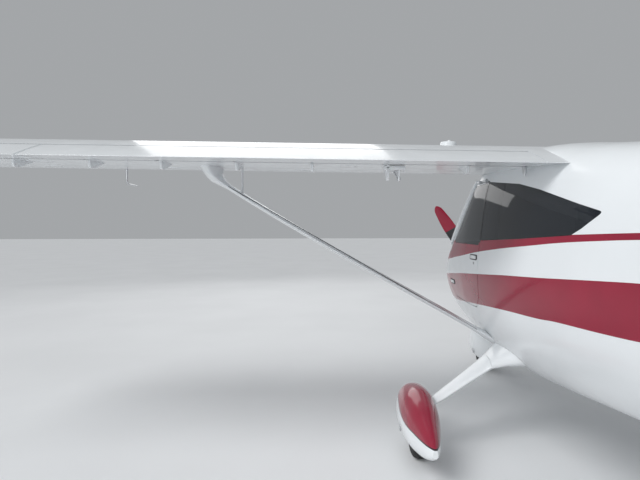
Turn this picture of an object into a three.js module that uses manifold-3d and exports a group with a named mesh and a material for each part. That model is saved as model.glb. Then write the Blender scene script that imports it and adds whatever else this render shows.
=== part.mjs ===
import * as THREE from 'three';
import { mergeVertices } from 'three/addons/utils/BufferGeometryUtils.js';
import Module from 'manifold-3d';

// Two-seat, high-wing, strut-braced ultralight aeroplane on a tricycle gear.
// Millimetres. +X forward, +Y left, +Z up. X = 0 is the wing's trailing edge at the root, and the
// whole group is moved by FRAME_SHIFT at the end, so that the origin is on the floor, mid-length.
const wasm = await Module();
wasm.setup();

// Overall places
const FRAME_SHIFT = 110;
const TAIL_X = -3100;
const FIREWALL_X = 1900;
const COWL_FRONT_X = 2920;
const BEYOND = 4000;

// Gaps
const FIT_GAP = 0.4;
const PIN_GAP = 0.3;
const MOVING_GAP = 6;

// Walls
const CABIN_WALL = 25;
const COWL_WALL = 14;
const GLASS = 6;
const GLASS_SEAT = 22;

// Wing
const CHORD = 1215;
const INCIDENCE = THREE.MathUtils.degToRad(4.9);
const DIHEDRAL = Math.tan(THREE.MathUtils.degToRad(1.15));
const TRAILING_EDGE_Z = 1762;
const CAMBER = 0.04;
const CAMBER_AT = 0.4;
const THICKNESS = 0.14;
const WING_ROOT_Y = 485;
const WING_TIP_Y = 4700;
const TIP_LENGTH = 260;
const AIRFOIL_STEPS = 10;
const TRAILING_EDGE = 0.0022;
const HINGE_AT = 0.775;
const FLAP_Y = [495, 3190];
const AILERON_Y = [3205, 4400];
const FLAP_BRACKETS = [810, 1260, 1690, 2120, 2550, 2960];
const AILERON_BRACKETS = [3400, 3800, 4200];
const BRACKET_WIDTH = 14;
const BRACKET_DEPTH = 42;
const HORN_DEPTH = 85;
const HORN_Y = 1260;
const EYE_RADIUS = 18;

// Shrinking of the wing's section towards the rounded tip: share of the tip's length, scale
const TIP = [[0, 1], [0.45, 0.96], [0.75, 0.86], [0.93, 0.66], [1, 0.42]];

// Bracing strut with its cuffs, and the jury strut's ends
const STRUT = [
  // x, y, z, chord, thickness
  [912, 475, 684, 150, 50],
  [905, 530, 716, 140, 46],
  [893, 600, 757, 100, 34],
  [700, 2230, 1706, 100, 34],
  [690, 2280, 1742, 150, 52],
  [676, 2318, 1782, 230, 96],
  [660, 2345, 1860, 320, 150],
];
const JURY = { from: [712, 2150, 1650], to: [712, 2150, 1900], radius: 7 };

// Gear
const MAIN_AXLE = [630, 1030, 182];
const NOSE_AXLE = [2650, 0, 182];
const TYRE_RADIUS = 182;
const TYRE_WIDTH = 104;
const RIM_RADIUS = 84;
const AXLE_RADIUS = 11;
const WHEEL_STEPS = 22;
const SPAT_POINTS = 14;
const STEER_RAKE = THREE.MathUtils.degToRad(8);
const LEG_RADIUS = 27;
const LEG_TOP_Z = 835;
const FORK_Z = 384;
const FORK_HALF = TYRE_WIDTH / 2 + 12;
const FORK_BLADE_HALF = 6;
const NOSE_AXLE_END = FORK_HALF + 12;
const BOSS_RADIUS = 26;
const MAIN_AXLE_START = 67.3;
const MAIN_AXLE_END = TYRE_WIDTH / 2 + 34;
const SPAT_WALL = 9;
const SPAT_BELLY = 0.08;
const MAIN_SLOT_REACH = 225;
const NOSE_SLOT_REACH = 215;

// Main leg from inside the belly down to the axle's inboard end, its places seen from the axle
const LEG_INBOARD = -TYRE_WIDTH / 2 - 26;
const MAIN_LEG = [
  // x, y and z from the axle, chord, thickness
  [165, -700, 536, 310, 112],
  [158, -590, 452, 280, 100],
  [135, -470, 370, 200, 78],
  [90, -290, 260, 140, 64],
  [60, -158, 180, 118, 50],
  [30, LEG_INBOARD - 4, 134, 104, 34],
  [0, LEG_INBOARD, 68, 90, 22],
  [0, LEG_INBOARD, -30, 84, 20],
];

// Fairing over the leg's root, flat below: y, rear and front end, bottom, top
const LEG_ROOT = [
  [250, 505, 960, 560, 800],
  [400, 545, 950, 564, 740],
  [480, 600, 925, 556, 668],
  [560, 660, 862, 530, 604],
];

// Wheel fairing: offset from the axle along X, top, bottom, half width
const SPAT = [
  [430, 245, 205, 22],
  [385, 310, 150, 64],
  [180, 410, 100, 114],
  [20, 426, 96, 118],
  [-140, 402, 100, 106],
  [-300, 350, 125, 76],
  [-450, 295, 175, 40],
  [-520, 262, 215, 14],
];
const NOSE_SPAT = SPAT.map(([offset, top, bottom, half]) => (
  [offset * (offset > 0 ? 0.72 : 0.86), top + 38, bottom, half]
));

// Engine: a plain block on four bars, and the gearbox shaft ahead of it
const ENGINE = [[2080, -250, 845], [2660, 250, 1130]];
const ENGINE_BARS = { y: 210, z: [870, 1105], radius: 14 };
const SHAFT_RADIUS = 48;
const INTAKES = [
  // middle Y, middle Z, width, height
  [158, 1030, 84, 60],
  [-158, 1030, 84, 60],
];
const COWL_SPLIT_Z = 985;
const NOSE_LEG_SLOT = [[2475, -75, 480], [2695, 75, 720]];
const BEARING_HALF = 60;

// Propeller
const PROP_AXIS_Z = 1015;
const PROP_X = 3010;
const PROP_RADIUS = 780;
const SPINNER_RADIUS = 122;
const SPINNER_HOLE = 44;
const HUB_HALF = 34;
const HUB_RADIUS = 70;
const BLADE_COUNT = 2;
const BLADE_POINTS = 10;
const FIRST_BLADE = THREE.MathUtils.degToRad(33);
const BLADE = [
  // share of the radius, chord, thickness, pitch angle in degrees
  [0.07, 60, 48, 60],
  [0.16, 84, 34, 46],
  [0.32, 130, 22, 33],
  [0.6, 134, 14, 22],
  [0.93, 86, 7, 14],
  [1.0, 34, 4, 12],
];
const SPINNER = [
  // radius, distance ahead of the propeller's plane
  [0, -66],
  [SPINNER_RADIUS, -66],
  [SPINNER_RADIUS, -20],
  [SPINNER_RADIUS * 0.95, 40],
  [SPINNER_RADIUS * 0.8, 110],
  [SPINNER_RADIUS * 0.55, 172],
  [SPINNER_RADIUS * 0.25, 210],
  [0, 220],
];

// Tail
const RUDDER_X = -3060;
const RUDDER_BOTTOM_Z = 1408;
const FIN_TOP_Z = 2290;
const FIN_BRACKETS = [1520, 1860, 2180];
const FIN = [
  // z, leading edge, trailing edge, thickness
  [1180, -2350, -3450, 96],
  [1420, -2500, -3450, 92],
  [2200, -2960, -3450, 62],
  [FIN_TOP_Z, -3040, -3436, 44],
];
const ELEVATOR_X = -2960;
const ELEVATOR_Z = 1240;
const ELEVATOR_Y = [104, 1235];
const TAILPLANE = [
  // y, leading edge, trailing edge, thickness
  [30, -2440, -3300, 72],
  [900, -2640, -3270, 56],
  [1190, -2710, -3255, 46],
  [ELEVATOR_Y[1], -2760, -3235, 30],
];
const TAIL_HINGE_SIDES = 16;
const TAIL_HINGE_HALF = 7;

// Half of a symmetric tail section: share of the chord, half thickness as a share of the thickness
const TAIL_HALF_SECTION = [[0.06, 0.34], [0.2, 0.48], [0.4, 0.5], [0.7, 0.3], [1, 0.04]];

// Radius of the rudder's rounded front at a height, and of the elevator's at a place along the span
const RUDDER_NOSE = [[RUDDER_BOTTOM_Z, 35], [2200, 31], [FIN_TOP_Z - 6, 15]];
const ELEVATOR_NOSE = [[ELEVATOR_Y[0], 27], [1190, 22], [ELEVATOR_Y[1] - 10, 16]];
const ELEVATOR_TUBE = 14;

// Body sections from the nose to the tail
// x, top, bottom, height of the widest place, half width, roof taper, upper and lower roundness
const BODY = [
  [2920, 1140, 830, 1000, 190, 0.0, 2.1, 2.1],
  [2865, 1182, 745, 1003, 278, 0.0, 2.3, 2.2],
  [2700, 1218, 668, 1010, 365, 0.01, 2.4, 2.15],
  [2450, 1240, 616, 1022, 425, 0.02, 2.5, 2.1],
  [2200, 1262, 575, 1035, 470, 0.04, 2.6, 2.0],
  [1900, 1300, 515, 1080, 555, 0.06, 2.8, 1.85],
  [1750, 1395, 490, 1110, 598, 0.09, 3.2, 1.85],
  [1500, 1640, 465, 1150, 624, 0.12, 3.9, 1.95],
  [1200, 1850, 450, 1160, 627, 0.13, 5.2, 2.1],
  [1050, 1915, 448, 1160, 622, 0.13, 6.0, 2.2],
  [800, 1946, 457, 1160, 607, 0.13, 6.0, 2.3],
  [400, 1928, 480, 1160, 565, 0.13, 5.2, 2.35],
  [0, 1873, 512, 1165, 502, 0.12, 4.4, 2.35],
  [-600, 1788, 570, 1200, 388, 0.06, 2.8, 2.35],
  [-1600, 1620, 800, 1240, 215, 0.02, 2.1, 2.1],
  [-2600, 1470, 985, 1240, 125, 0.0, 2.0, 2.0],
  [-3020, 1390, 1085, 1240, 74, 0.0, 2.0, 2.0],
  [-3100, 1330, 1150, 1240, 36, 0.0, 2.0, 2.0],
];
const BETWEEN_ROWS = [2790, 2325, 2050, 1625, 1350, 600, 200];
const SECTION_POINTS = 24;
const BODY_HALF_WIDTH = 900;

// Side outlines in X and Z: the door, its glass, the quarter window and the windshield
const DOOR = [[820, 1748], [1086, 1748], [1540, 1292], [1580, 1180], [1500, 905], [900, 905], [820, 990]];
const DOOR_GLASS = [[828, 1739], [1076, 1739], [1478, 1328], [828, 1328]];
const QUARTER_GLASS = [
  [808, 1745], [382, 1697], [162, 1650], [-184, 1557], [-342, 1513], [-228, 1441], [-160, 1409],
  [286, 1382], [808, 1358],
];
const WINDSHIELD = [[1160, 2050], [1160, 1795], [1612, 1322], [1850, 1335], [2050, 1430], [2050, 2050]];
const DOOR_AXIS = [1757, 544];
const DOOR_HINGES = [850, 985];
const KNUCKLE = { radius: 9, clearance: 14, length: 24, lug: 36 };

// Cabin
const FLOOR = { from: -120, to: 1860, z: 545 };
const TUNNEL = [[300, -38, 500], [1560, 38, 660]];
const SEAT_BASE = [[430, 45, 500], [960, 505, 700]];
const SEAT_Y = [52, 470];
const SEAT_Z = SEAT_BASE[1][2] + PIN_GAP;
const CUSHION = [[440, SEAT_Z], [985, SEAT_Z], [1000, 800], [960, 812], [440, 770]];
const SEAT_BACK = [[440, SEAT_Z], [470, 770], [300, 1400], [210, 1380], [360, SEAT_Z]];
const STICK_TUBE = { x: 1180, z: 558.3, radius: 13, half: 250 };
const PANEL = [[1585, 1010], [1620, 1265], [1700, 1290], [1735, 1240], [1650, 1010]];
const BULKHEAD_X = [-142, -130];

const PAINTS = {
  white: [0xeef1f3, 0.25, 0.0],
  crimson: [0x7d1230, 0.25, 0.0],
  glass: [0x101820, 0.08, 0.0],
  dark: [0x202226, 0.5, 0.1],
  rubber: [0x18181a, 0.9, 0.0],
  metal: [0xa8abae, 0.35, 0.9],
  fabric: [0x3a3d42, 0.95, 0.0],
};

const aircraft = new THREE.Group();

// Solids and meshes

function solid(geometry) {
  const plain = geometry.clone();
  plain.deleteAttribute('normal');
  plain.deleteAttribute('uv');
  const merged = mergeVertices(plain, 1e-3);
  return new wasm.Manifold(new wasm.Mesh({
    numProp: 3,
    vertProperties: new Float32Array(merged.attributes.position.array),
    triVerts: new Uint32Array(merged.index.array),
  }));
}

function geometryOf(body) {
  const mesh = body.getMesh();
  const geometry = new THREE.BufferGeometry();
  geometry.setAttribute('position', new THREE.BufferAttribute(mesh.vertProperties, 3));
  geometry.setIndex(new THREE.BufferAttribute(mesh.triVerts, 1));
  return geometry;
}

function place(name, body, paint) {
  const [color, roughness, metalness] = PAINTS[paint];
  const material = new THREE.MeshStandardMaterial({ color, roughness, metalness });
  const geometry = geometryOf(body);
  geometry.computeVertexNormals();
  const mesh = new THREE.Mesh(geometry, material);
  mesh.name = name;
  aircraft.add(mesh);
}

// The other side's piece, mirrored in Y
function mirrored(body) {
  const geometry = geometryOf(body).scale(1, -1, 1);
  const index = geometry.index.array;
  for (let i = 0; i < index.length; i += 3) {
    [index[i], index[i + 1]] = [index[i + 1], index[i]];
  }
  return solid(geometry);
}

function placePair(name, body, paint) {
  place(`${name}_left`, body, paint);
  place(`${name}_right`, mirrored(body), paint);
}

// A closed solid through rings of equally many points, its ends closed from their middles.
// Where isTurned(i) holds, the side between points i and i + 1 is split along its other diagonal.
function loft(rings, isTurned = () => false) {
  const count = rings[0].length;
  const points = rings.flat();
  const faces = [];
  for (let r = 0; r + 1 < rings.length; r += 1) {
    for (let i = 0; i < count; i += 1) {
      const a = r * count + i;
      const b = r * count + (i + 1) % count;
      const split = isTurned(i) ? [a, b, a + count, b, b + count, a + count]
        : [a, b, b + count, a, b + count, a + count];
      faces.push(...split);
    }
  }
  for (const [ring, turn] of [[0, 1], [rings.length - 1, -1]]) {
    const middle = points.length;
    points.push([0, 1, 2].map((k) => rings[ring].reduce((sum, p) => sum + p[k], 0) / count));
    for (let i = 0; i < count; i += 1) {
      const a = ring * count + i;
      const b = ring * count + (i + 1) % count;
      faces.push(...(turn > 0 ? [middle, b, a] : [middle, a, b]));
    }
  }
  const volume = signedVolume(points, faces);
  if (volume < 0) {
    faces.reverse();
  }
  const geometry = new THREE.BufferGeometry();
  geometry.setAttribute('position', new THREE.Float32BufferAttribute(points.flat(), 3));
  geometry.setIndex(faces);
  return solid(geometry);
}

function signedVolume(points, faces) {
  let sum = 0;
  for (let i = 0; i < faces.length; i += 3) {
    const [a, b, c] = [0, 1, 2].map((k) => new THREE.Vector3(...points[faces[i + k]]));
    sum += a.dot(b.cross(c)) / 6;
  }
  return sum;
}

function box(low, high) {
  const size = high.map((value, k) => value - low[k]);
  const middle = high.map((value, k) => (value + low[k]) / 2);
  return solid(new THREE.BoxGeometry(...size).translate(...middle));
}

// A round bar between two points, with a radius at each end
function bar(from, to, radius, endRadius = radius, sides = 12) {
  const start = new THREE.Vector3(...from);
  const along = new THREE.Vector3(...to).sub(start);
  const upright = new THREE.Vector3(0, 1, 0);
  const turn = new THREE.Quaternion().setFromUnitVectors(upright, along.clone().normalize());
  const geometry = new THREE.CylinderGeometry(endRadius, radius, along.length(), sides);
  geometry.translate(0, along.length() / 2, 0).applyQuaternion(turn).translate(...from);
  return solid(geometry);
}

// Profile points [radius, offset] turned about an axis through a place, along X or Y
function turned(profile, centre, axis, segments) {
  const points = profile.map(([radius, offset]) => new THREE.Vector2(radius, offset));
  const geometry = new THREE.LatheGeometry(points, segments);
  if (axis === 'x') {
    geometry.rotateZ(-Math.PI / 2);
  }
  return solid(geometry.translate(...centre));
}

// Outlines in X and Z, all convex

function insetOutline(points, distance) {
  const count = points.length;
  const area = points.reduce((sum, p, i) => {
    const q = points[(i + 1) % count];
    return sum + p[0] * q[1] - q[0] * p[1];
  }, 0);
  const inward = Math.sign(area);
  const edges = points.map((p, i) => {
    const q = points[(i + 1) % count];
    const length = Math.hypot(q[0] - p[0], q[1] - p[1]);
    const normal = [-inward * (q[1] - p[1]) / length, inward * (q[0] - p[0]) / length];
    return { normal, reach: normal[0] * p[0] + normal[1] * p[1] + distance };
  });
  return edges.map((edge, i) => {
    const last = edges[(i + count - 1) % count];
    const det = last.normal[0] * edge.normal[1] - last.normal[1] * edge.normal[0];
    return [
      (last.reach * edge.normal[1] - edge.reach * last.normal[1]) / det,
      (last.normal[0] * edge.reach - edge.normal[0] * last.reach) / det,
    ];
  });
}

function roundedOutline(points, radius, steps = 4) {
  const count = points.length;
  return points.flatMap((p, i) => {
    const corner = new THREE.Vector2(...p);
    const back = new THREE.Vector2(...points[(i + count - 1) % count]).sub(corner);
    const ahead = new THREE.Vector2(...points[(i + 1) % count]).sub(corner);
    const half = back.angleTo(ahead) / 2;
    const reach = Math.min(radius / Math.tan(half), back.length() * 0.45, ahead.length() * 0.45);
    const start = corner.clone().addScaledVector(back.normalize(), reach);
    const end = corner.clone().addScaledVector(ahead.normalize(), reach);
    const curve = new THREE.QuadraticBezierCurve(start, corner, end);
    return curve.getPoints(steps).map((q) => [q.x, q.y]);
  });
}

function prism(points, fromY, toY) {
  return loft([fromY, toY].map((y) => points.map(([x, z]) => [x, y, z])));
}

// Body shape

// Each column of a table at a place between its rows, with no overshoot
function between(table, x) {
  const rows = [...table].sort((a, b) => a[0] - b[0]);
  const last = rows.length - 1;
  const at = Math.min(Math.max(rows.findIndex((row) => row[0] > x) - 1, 0), last - 1);
  const i = x >= rows[last][0] ? last - 1 : at;
  const step = (k, c) => (rows[k + 1][c] - rows[k][c]) / (rows[k + 1][0] - rows[k][0]);
  const slope = (k, c) => {
    if (k === 0 || k === last) {
      return step(Math.min(k, last - 1), c);
    }
    const [before, after] = [step(k - 1, c), step(k, c)];
    return before * after <= 0 ? 0 : (2 * before * after) / (before + after);
  };
  const width = rows[i + 1][0] - rows[i][0];
  const t = (x - rows[i][0]) / width;
  return rows[i].map((_, c) => {
    const rise = t * t * (3 - 2 * t);
    const ease = t * (1 - t) * (1 - t);
    const arrive = t * t * (t - 1);
    return rows[i][c] * (1 - rise) + rows[i + 1][c] * rise
      + width * (slope(i, c) * ease + slope(i + 1, c) * arrive);
  });
}

function bodyRing(x, inset) {
  const [, top, bottom, waist, half, taper, upper, lower] = between(BODY, x);
  const ring = [];
  for (let i = 0; i < SECTION_POINTS; i += 1) {
    const angle = (2 * Math.PI * i) / SECTION_POINTS;
    const [across, up] = [Math.cos(angle), Math.sin(angle)];
    const roundness = up >= 0 ? upper : lower;
    const rise = Math.abs(up) ** (2 / roundness);
    const reach = (half - inset) * (1 - (up > 0 ? taper * rise : 0));
    const height = (up >= 0 ? top - waist : bottom - waist) - Math.sign(up) * inset;
    ring.push([x, reach * Math.sign(across) * Math.abs(across) ** (2 / roundness), waist + height * rise]);
  }
  return ring;
}

const bodyPlaces = [...BODY.map((row) => row[0]), ...BETWEEN_ROWS].sort((a, b) => b - a);
const bodyLofts = new Map();

// The whole body's shape, inset from its outside, between two places along it
function bodySolid(fromX, toX, inset) {
  if (!bodyLofts.has(inset)) {
    const isRight = (i) => i >= SECTION_POINTS / 4 && i < (3 * SECTION_POINTS) / 4;
    bodyLofts.set(inset, loft(bodyPlaces.map((x) => bodyRing(x, inset)), isRight));
  }
  return bodyLofts.get(inset).intersect(box([fromX, -BEYOND, -BEYOND], [toX, BEYOND, BEYOND]));
}

const bodyOutside = bodySolid(TAIL_X - 1, COWL_FRONT_X + 1, -2 * FIT_GAP);

const glazedPart = [TAIL_X, 2 * FIREWALL_X];
const bothSides = [-BODY_HALF_WIDTH, BODY_HALF_WIDTH];
const leftSide = [60, BODY_HALF_WIDTH];

// Glass let into the outside of the skin
function glassIn(outline, across) {
  const sheet = bodySolid(...glazedPart, 0).subtract(bodySolid(...glazedPart, GLASS));
  return sheet.intersect(prism(insetOutline(outline, FIT_GAP), ...across));
}

// The hole that the glass leaves, with a narrower one through the rest of the skin
function glassSeat(outline, across) {
  const seat = prism(outline, ...across).subtract(bodySolid(...glazedPart, GLASS + FIT_GAP));
  return seat.add(prism(insetOutline(outline, GLASS_SEAT), ...across));
}

// Wing sections

function airfoilPoint(at, side) {
  const half = 5 * THICKNESS * (0.2969 * Math.sqrt(at) - 0.126 * at - 0.3516 * at ** 2
    + 0.2843 * at ** 3 - 0.1036 * at ** 4);
  const camber = at < CAMBER_AT
    ? (CAMBER / CAMBER_AT ** 2) * (2 * CAMBER_AT * at - at * at)
    : (CAMBER / (1 - CAMBER_AT) ** 2) * (1 - 2 * CAMBER_AT + 2 * CAMBER_AT * at - at * at);
  return [at, camber + side * half];
}

// A chord fraction and height fraction as X and Z at the wing's root
function wingPoint([at, height], chord = CHORD, middle = 0) {
  const ahead = (1 - at) * chord - middle;
  return [
    ahead * Math.cos(INCIDENCE) - height * chord * Math.sin(INCIDENCE),
    ahead * Math.sin(INCIDENCE) + height * chord * Math.cos(INCIDENCE) + TRAILING_EDGE_Z,
  ];
}

function wingRing(y, scale = 1) {
  const outline = [];
  for (let i = 0; i <= AIRFOIL_STEPS; i += 1) {
    const at = (1 - Math.cos((Math.PI * i) / AIRFOIL_STEPS)) / 2;
    const [, height] = airfoilPoint(at, 1);
    outline.push([at, i === AIRFOIL_STEPS ? TRAILING_EDGE : height]);
  }
  for (let i = AIRFOIL_STEPS; i > 0; i -= 1) {
    const at = (1 - Math.cos((Math.PI * i) / AIRFOIL_STEPS)) / 2;
    const [, height] = airfoilPoint(at, -1);
    outline.push([at, i === AIRFOIL_STEPS ? -TRAILING_EDGE : height]);
  }
  const shift = (1 - scale) * CHORD * 0.35;
  return outline.map((point) => {
    const [x, z] = wingPoint(point, CHORD * scale, -shift);
    return [x, y, z + y * DIHEDRAL];
  });
}

// The wing's centre section, part of the cabin's roof
function centreSection() {
  return loft([-WING_ROOT_Y, 0, WING_ROOT_Y].map((y) => (
    wingRing(Math.abs(y)).map(([x, , z]) => [x, y, z])
  )));
}

// Fuselage

const doorOutline = roundedOutline(DOOR, 60, 3);
const doorGlassOutline = roundedOutline(DOOR_GLASS, 30, 3);
const quarterOutline = roundedOutline(QUARTER_GLASS, 30, 2);

function doorKnuckle(fromX, toX, radius) {
  const [z, y] = DOOR_AXIS;
  return bar([fromX, y, z], [toX, y, z], radius);
}

// One half of a door hinge, with the lug that joins it to its panel above or below the axis
function hingeHalf(fromX, above) {
  const [z, y] = DOOR_AXIS;
  const toX = fromX + KNUCKLE.length - PIN_GAP;
  const [low, high] = above ? [z, z + KNUCKLE.radius] : [z - 16, z - 7];
  return doorKnuckle(fromX, toX, KNUCKLE.radius).add(box([fromX, y - KNUCKLE.lug, low], [toX, y, high]));
}

function fuselageShell() {
  let shell = bodySolid(TAIL_X, FIREWALL_X, 0).add(centreSection());
  shell = shell.subtract(bodySolid(TAIL_X + 220, FIREWALL_X + 30, CABIN_WALL));
  shell = shell.subtract(prism(insetOutline(doorOutline, -MOVING_GAP), ...bothSides));
  shell = shell.subtract(glassSeat(quarterOutline, bothSides));
  shell = shell.subtract(glassSeat(WINDSHIELD, bothSides));
  shell = shell.subtract(elevatorBar(-300, 300, ELEVATOR_TUBE + 0.7));
  for (const x of DOOR_HINGES) {
    const clear = doorKnuckle(x + KNUCKLE.length - 0.2, x + 2 * KNUCKLE.length + 5, KNUCKLE.clearance);
    const half = hingeHalf(x, true);
    shell = shell.subtract(clear).subtract(mirrored(clear)).add(half).add(mirrored(half));
  }
  return shell;
}

function door() {
  let panel = bodySolid(...glazedPart, 0).subtract(bodySolid(...glazedPart, CABIN_WALL));
  panel = panel.intersect(prism(doorOutline, ...leftSide)).subtract(glassSeat(doorGlassOutline, leftSide));
  for (const x of DOOR_HINGES) {
    panel = panel.subtract(doorKnuckle(x - 5, x + KNUCKLE.length - 0.2, KNUCKLE.clearance));
    panel = panel.add(hingeHalf(x + KNUCKLE.length, false));
  }
  return panel;
}

place('fuselage_shell', fuselageShell(), 'white');
place('windshield', glassIn(WINDSHIELD, bothSides), 'glass');
placePair('quarter_window', glassIn(quarterOutline, leftSide), 'glass');
placePair('door', door(), 'white');
placePair('door_glass', glassIn(doorGlassOutline, leftSide), 'glass');

// Engine bay

const cowlOuter = bodySolid(FIREWALL_X + FIT_GAP, COWL_FRONT_X, 0);
const cowlInner = bodySolid(FIREWALL_X - 30, COWL_FRONT_X - 24, COWL_WALL);
const shaftHole = [COWL_FRONT_X - 60, COWL_FRONT_X + 30].map((x) => [x, 0, PROP_AXIS_Z]);
const spinnerHole = bar(...shaftHole, 62, 62, 24);

function cowling() {
  let cowl = cowlOuter.subtract(cowlInner).subtract(spinnerHole).subtract(box(...NOSE_LEG_SLOT));
  for (const [y, z, width, height] of INTAKES) {
    const low = [COWL_FRONT_X - 130, y - width / 2, z - height / 2];
    cowl = cowl.subtract(box(low, [COWL_FRONT_X + 10, y + width / 2, z + height / 2]));
  }
  return cowl;
}

// The block with its gearbox shaft, and the bars that hold it on the firewall
function engineBlock() {
  const [low, high] = ENGINE;
  const shaftEnd = PROP_X - HUB_HALF - PIN_GAP;
  let engine = box(low, high);
  const [rear, front] = [[high[0] - 20, 0, PROP_AXIS_Z], [shaftEnd, 0, PROP_AXIS_Z]];
  engine = engine.add(bar(rear, front, SHAFT_RADIUS, SHAFT_RADIUS, 16));
  for (const z of ENGINE_BARS.z) {
    for (const y of [-ENGINE_BARS.y, ENGINE_BARS.y]) {
      engine = engine.add(bar([FIREWALL_X + PIN_GAP, y, z], [low[0] + 20, y, z], ENGINE_BARS.radius));
    }
  }
  return engine;
}

const aboveSplit = box([0, -BEYOND, COWL_SPLIT_Z], [BEYOND, BEYOND, BEYOND]);
const belowSplit = box([0, -BEYOND, 0], [BEYOND, BEYOND, COWL_SPLIT_Z - PIN_GAP]);
place('cowling_upper', cowling().intersect(aboveSplit), 'white');
place('cowling_lower', cowling().intersect(belowSplit), 'white');
place('firewall', bodySolid(FIREWALL_X - 8, FIREWALL_X - FIT_GAP, CABIN_WALL + FIT_GAP), 'metal');
place('engine_block', engineBlock(), 'dark');

// Wing

const tipStart = WING_TIP_Y - TIP_LENGTH;
const wingLoft = loft([
  wingRing(WING_ROOT_Y + FIT_GAP),
  ...TIP.map(([share, scale]) => wingRing(tipStart + share * TIP_LENGTH, scale)),
]);

const hingeCamber = airfoilPoint(HINGE_AT, 0);
const [HINGE_X, HINGE_Z] = wingPoint(hingeCamber);
const NOSE_RADIUS = 0.97 * (airfoilPoint(HINGE_AT, 1)[1] - hingeCamber[1]) * CHORD;

// A convex profile in X and Z carried along the span, rising with it
function spanwise(profile, fromY, toY) {
  return loft([fromY, toY].map((y) => profile.map(([x, z]) => [x, y, z + y * DIHEDRAL])));
}

function circle(x, z, radius, sides = 16) {
  return Array.from({ length: sides }, (_, i) => {
    const angle = (2 * Math.PI * i) / sides;
    return [x + radius * Math.cos(angle), z + radius * Math.sin(angle)];
  });
}

function rectangle(fromX, toX, fromZ, toZ) {
  return [[fromX, fromZ], [toX, fromZ], [toX, toZ], [fromX, toZ]];
}

const behindHinge = rectangle(-400, HINGE_X, 1500, 2100);

function controlSurface([fromY, toY], brackets) {
  let surface = wingLoft.intersect(spanwise(behindHinge, fromY, toY));
  surface = surface.add(spanwise(circle(HINGE_X, HINGE_Z, NOSE_RADIUS), fromY, toY));
  for (const y of brackets) {
    const half = BRACKET_WIDTH / 2 + PIN_GAP;
    const slot = rectangle(HINGE_X - 24, HINGE_X + 90, HINGE_Z - 90, HINGE_Z + 0.55 * NOSE_RADIUS);
    surface = surface.subtract(spanwise(slot, y - half, y + half));
  }
  return surface;
}

// Arm to the hinge line, with a fin under the wing ahead of it. Only the eye fills the slot.
function hingeBracket(y) {
  const depth = y === HORN_Y ? HORN_DEPTH : BRACKET_DEPTH;
  const across = (half) => [y - half, y + half];
  const [eyeHalf, armHalf] = [BRACKET_WIDTH / 2, BRACKET_WIDTH / 2 - 2];
  const rear = HINGE_X + NOSE_RADIUS + MOVING_GAP + 4;
  const lowZ = HINGE_Z - NOSE_RADIUS - depth;
  const front = rear + 230;
  const fin = [[rear, HINGE_Z], [rear, lowZ], [rear + 40, lowZ], [front, HINGE_Z - 20], [front, HINGE_Z]];
  const arm = rectangle(HINGE_X, HINGE_X + NOSE_RADIUS + 60, HINGE_Z - 8, HINGE_Z + 8);
  const eye = circle(HINGE_X, HINGE_Z, EYE_RADIUS, 8);
  return spanwise(arm, ...across(armHalf)).add(spanwise(eye, ...across(eyeHalf)))
    .add(spanwise(fin, ...across(eyeHalf)));
}

function wing() {
  let panel = wingLoft;
  for (const [fromY, toY] of [FLAP_Y, AILERON_Y]) {
    const ends = [fromY - MOVING_GAP - 0.5, toY + MOVING_GAP + 0.5];
    panel = panel.subtract(spanwise(behindHinge, ...ends));
    panel = panel.subtract(spanwise(circle(HINGE_X, HINGE_Z, NOSE_RADIUS + MOVING_GAP), ...ends));
  }
  for (const y of [...FLAP_BRACKETS, ...AILERON_BRACKETS]) {
    panel = panel.add(hingeBracket(y));
  }
  return panel.subtract(bodyOutside);
}

placePair('wing', wing(), 'white');
placePair('flap', controlSurface(FLAP_Y, FLAP_BRACKETS), 'white');
placePair('aileron', controlSurface(AILERON_Y, AILERON_BRACKETS), 'white');

// A streamlined bar through places with a chord along X and a thickness: x, y, z, chord, thickness
function fairedBar(places, sides = 12) {
  const rings = places.map(([x, y, z, chord, thickness], i) => {
    const before = places[Math.max(i - 1, 0)];
    const after = places[Math.min(i + 1, places.length - 1)];
    const run = new THREE.Vector3(0, after[1] - before[1], after[2] - before[2]).normalize();
    const normal = new THREE.Vector3(0, -run.z, run.y);
    return Array.from({ length: sides }, (_, k) => {
      const angle = (2 * Math.PI * k) / sides;
      const along = (chord / 2) * Math.cos(angle);
      const out = (thickness / 2) * Math.sin(angle) * (1 + 0.35 * Math.cos(angle));
      return [x + along, y + normal.y * out, z + normal.z * out];
    });
  });
  return loft(rings);
}

function rootFairing(grow) {
  const sides = 16;
  return loft(LEG_ROOT.map(([y, rear, front, bottom, top]) => (
    Array.from({ length: sides }, (_, i) => {
      const angle = (2 * Math.PI * i) / sides;
      const squareness = Math.sin(angle) < 0 ? 0.6 : 1;
      const along = Math.sign(Math.cos(angle)) * Math.abs(Math.cos(angle)) ** 0.8;
      const up = Math.sign(Math.sin(angle)) * Math.abs(Math.sin(angle)) ** squareness;
      const [middleX, middleZ] = [(rear + front) / 2, (bottom + top) / 2];
      return [middleX + ((front - rear) / 2 + grow) * along, y, middleZ + ((top - bottom) / 2 + grow) * up];
    })
  )));
}

// Main gear leg, from inside the belly to the axle's inboard end
function mainLeg(grow = 0) {
  const places = MAIN_LEG.map(([x, y, z, chord, thickness]) => (
    [MAIN_AXLE[0] + x, MAIN_AXLE[1] + y, MAIN_AXLE[2] + z, chord + grow, thickness + grow]
  ));
  return fairedBar(places).add(rootFairing(grow / 2)).subtract(bodyOutside);
}

function strut() {
  const main = fairedBar(STRUT).add(bar(JURY.from, JURY.to, JURY.radius, JURY.radius, 10));
  return main.subtract(bodyOutside).subtract(wingFromBelow()).subtract(mainLeg(2 * MOVING_GAP));
}

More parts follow.
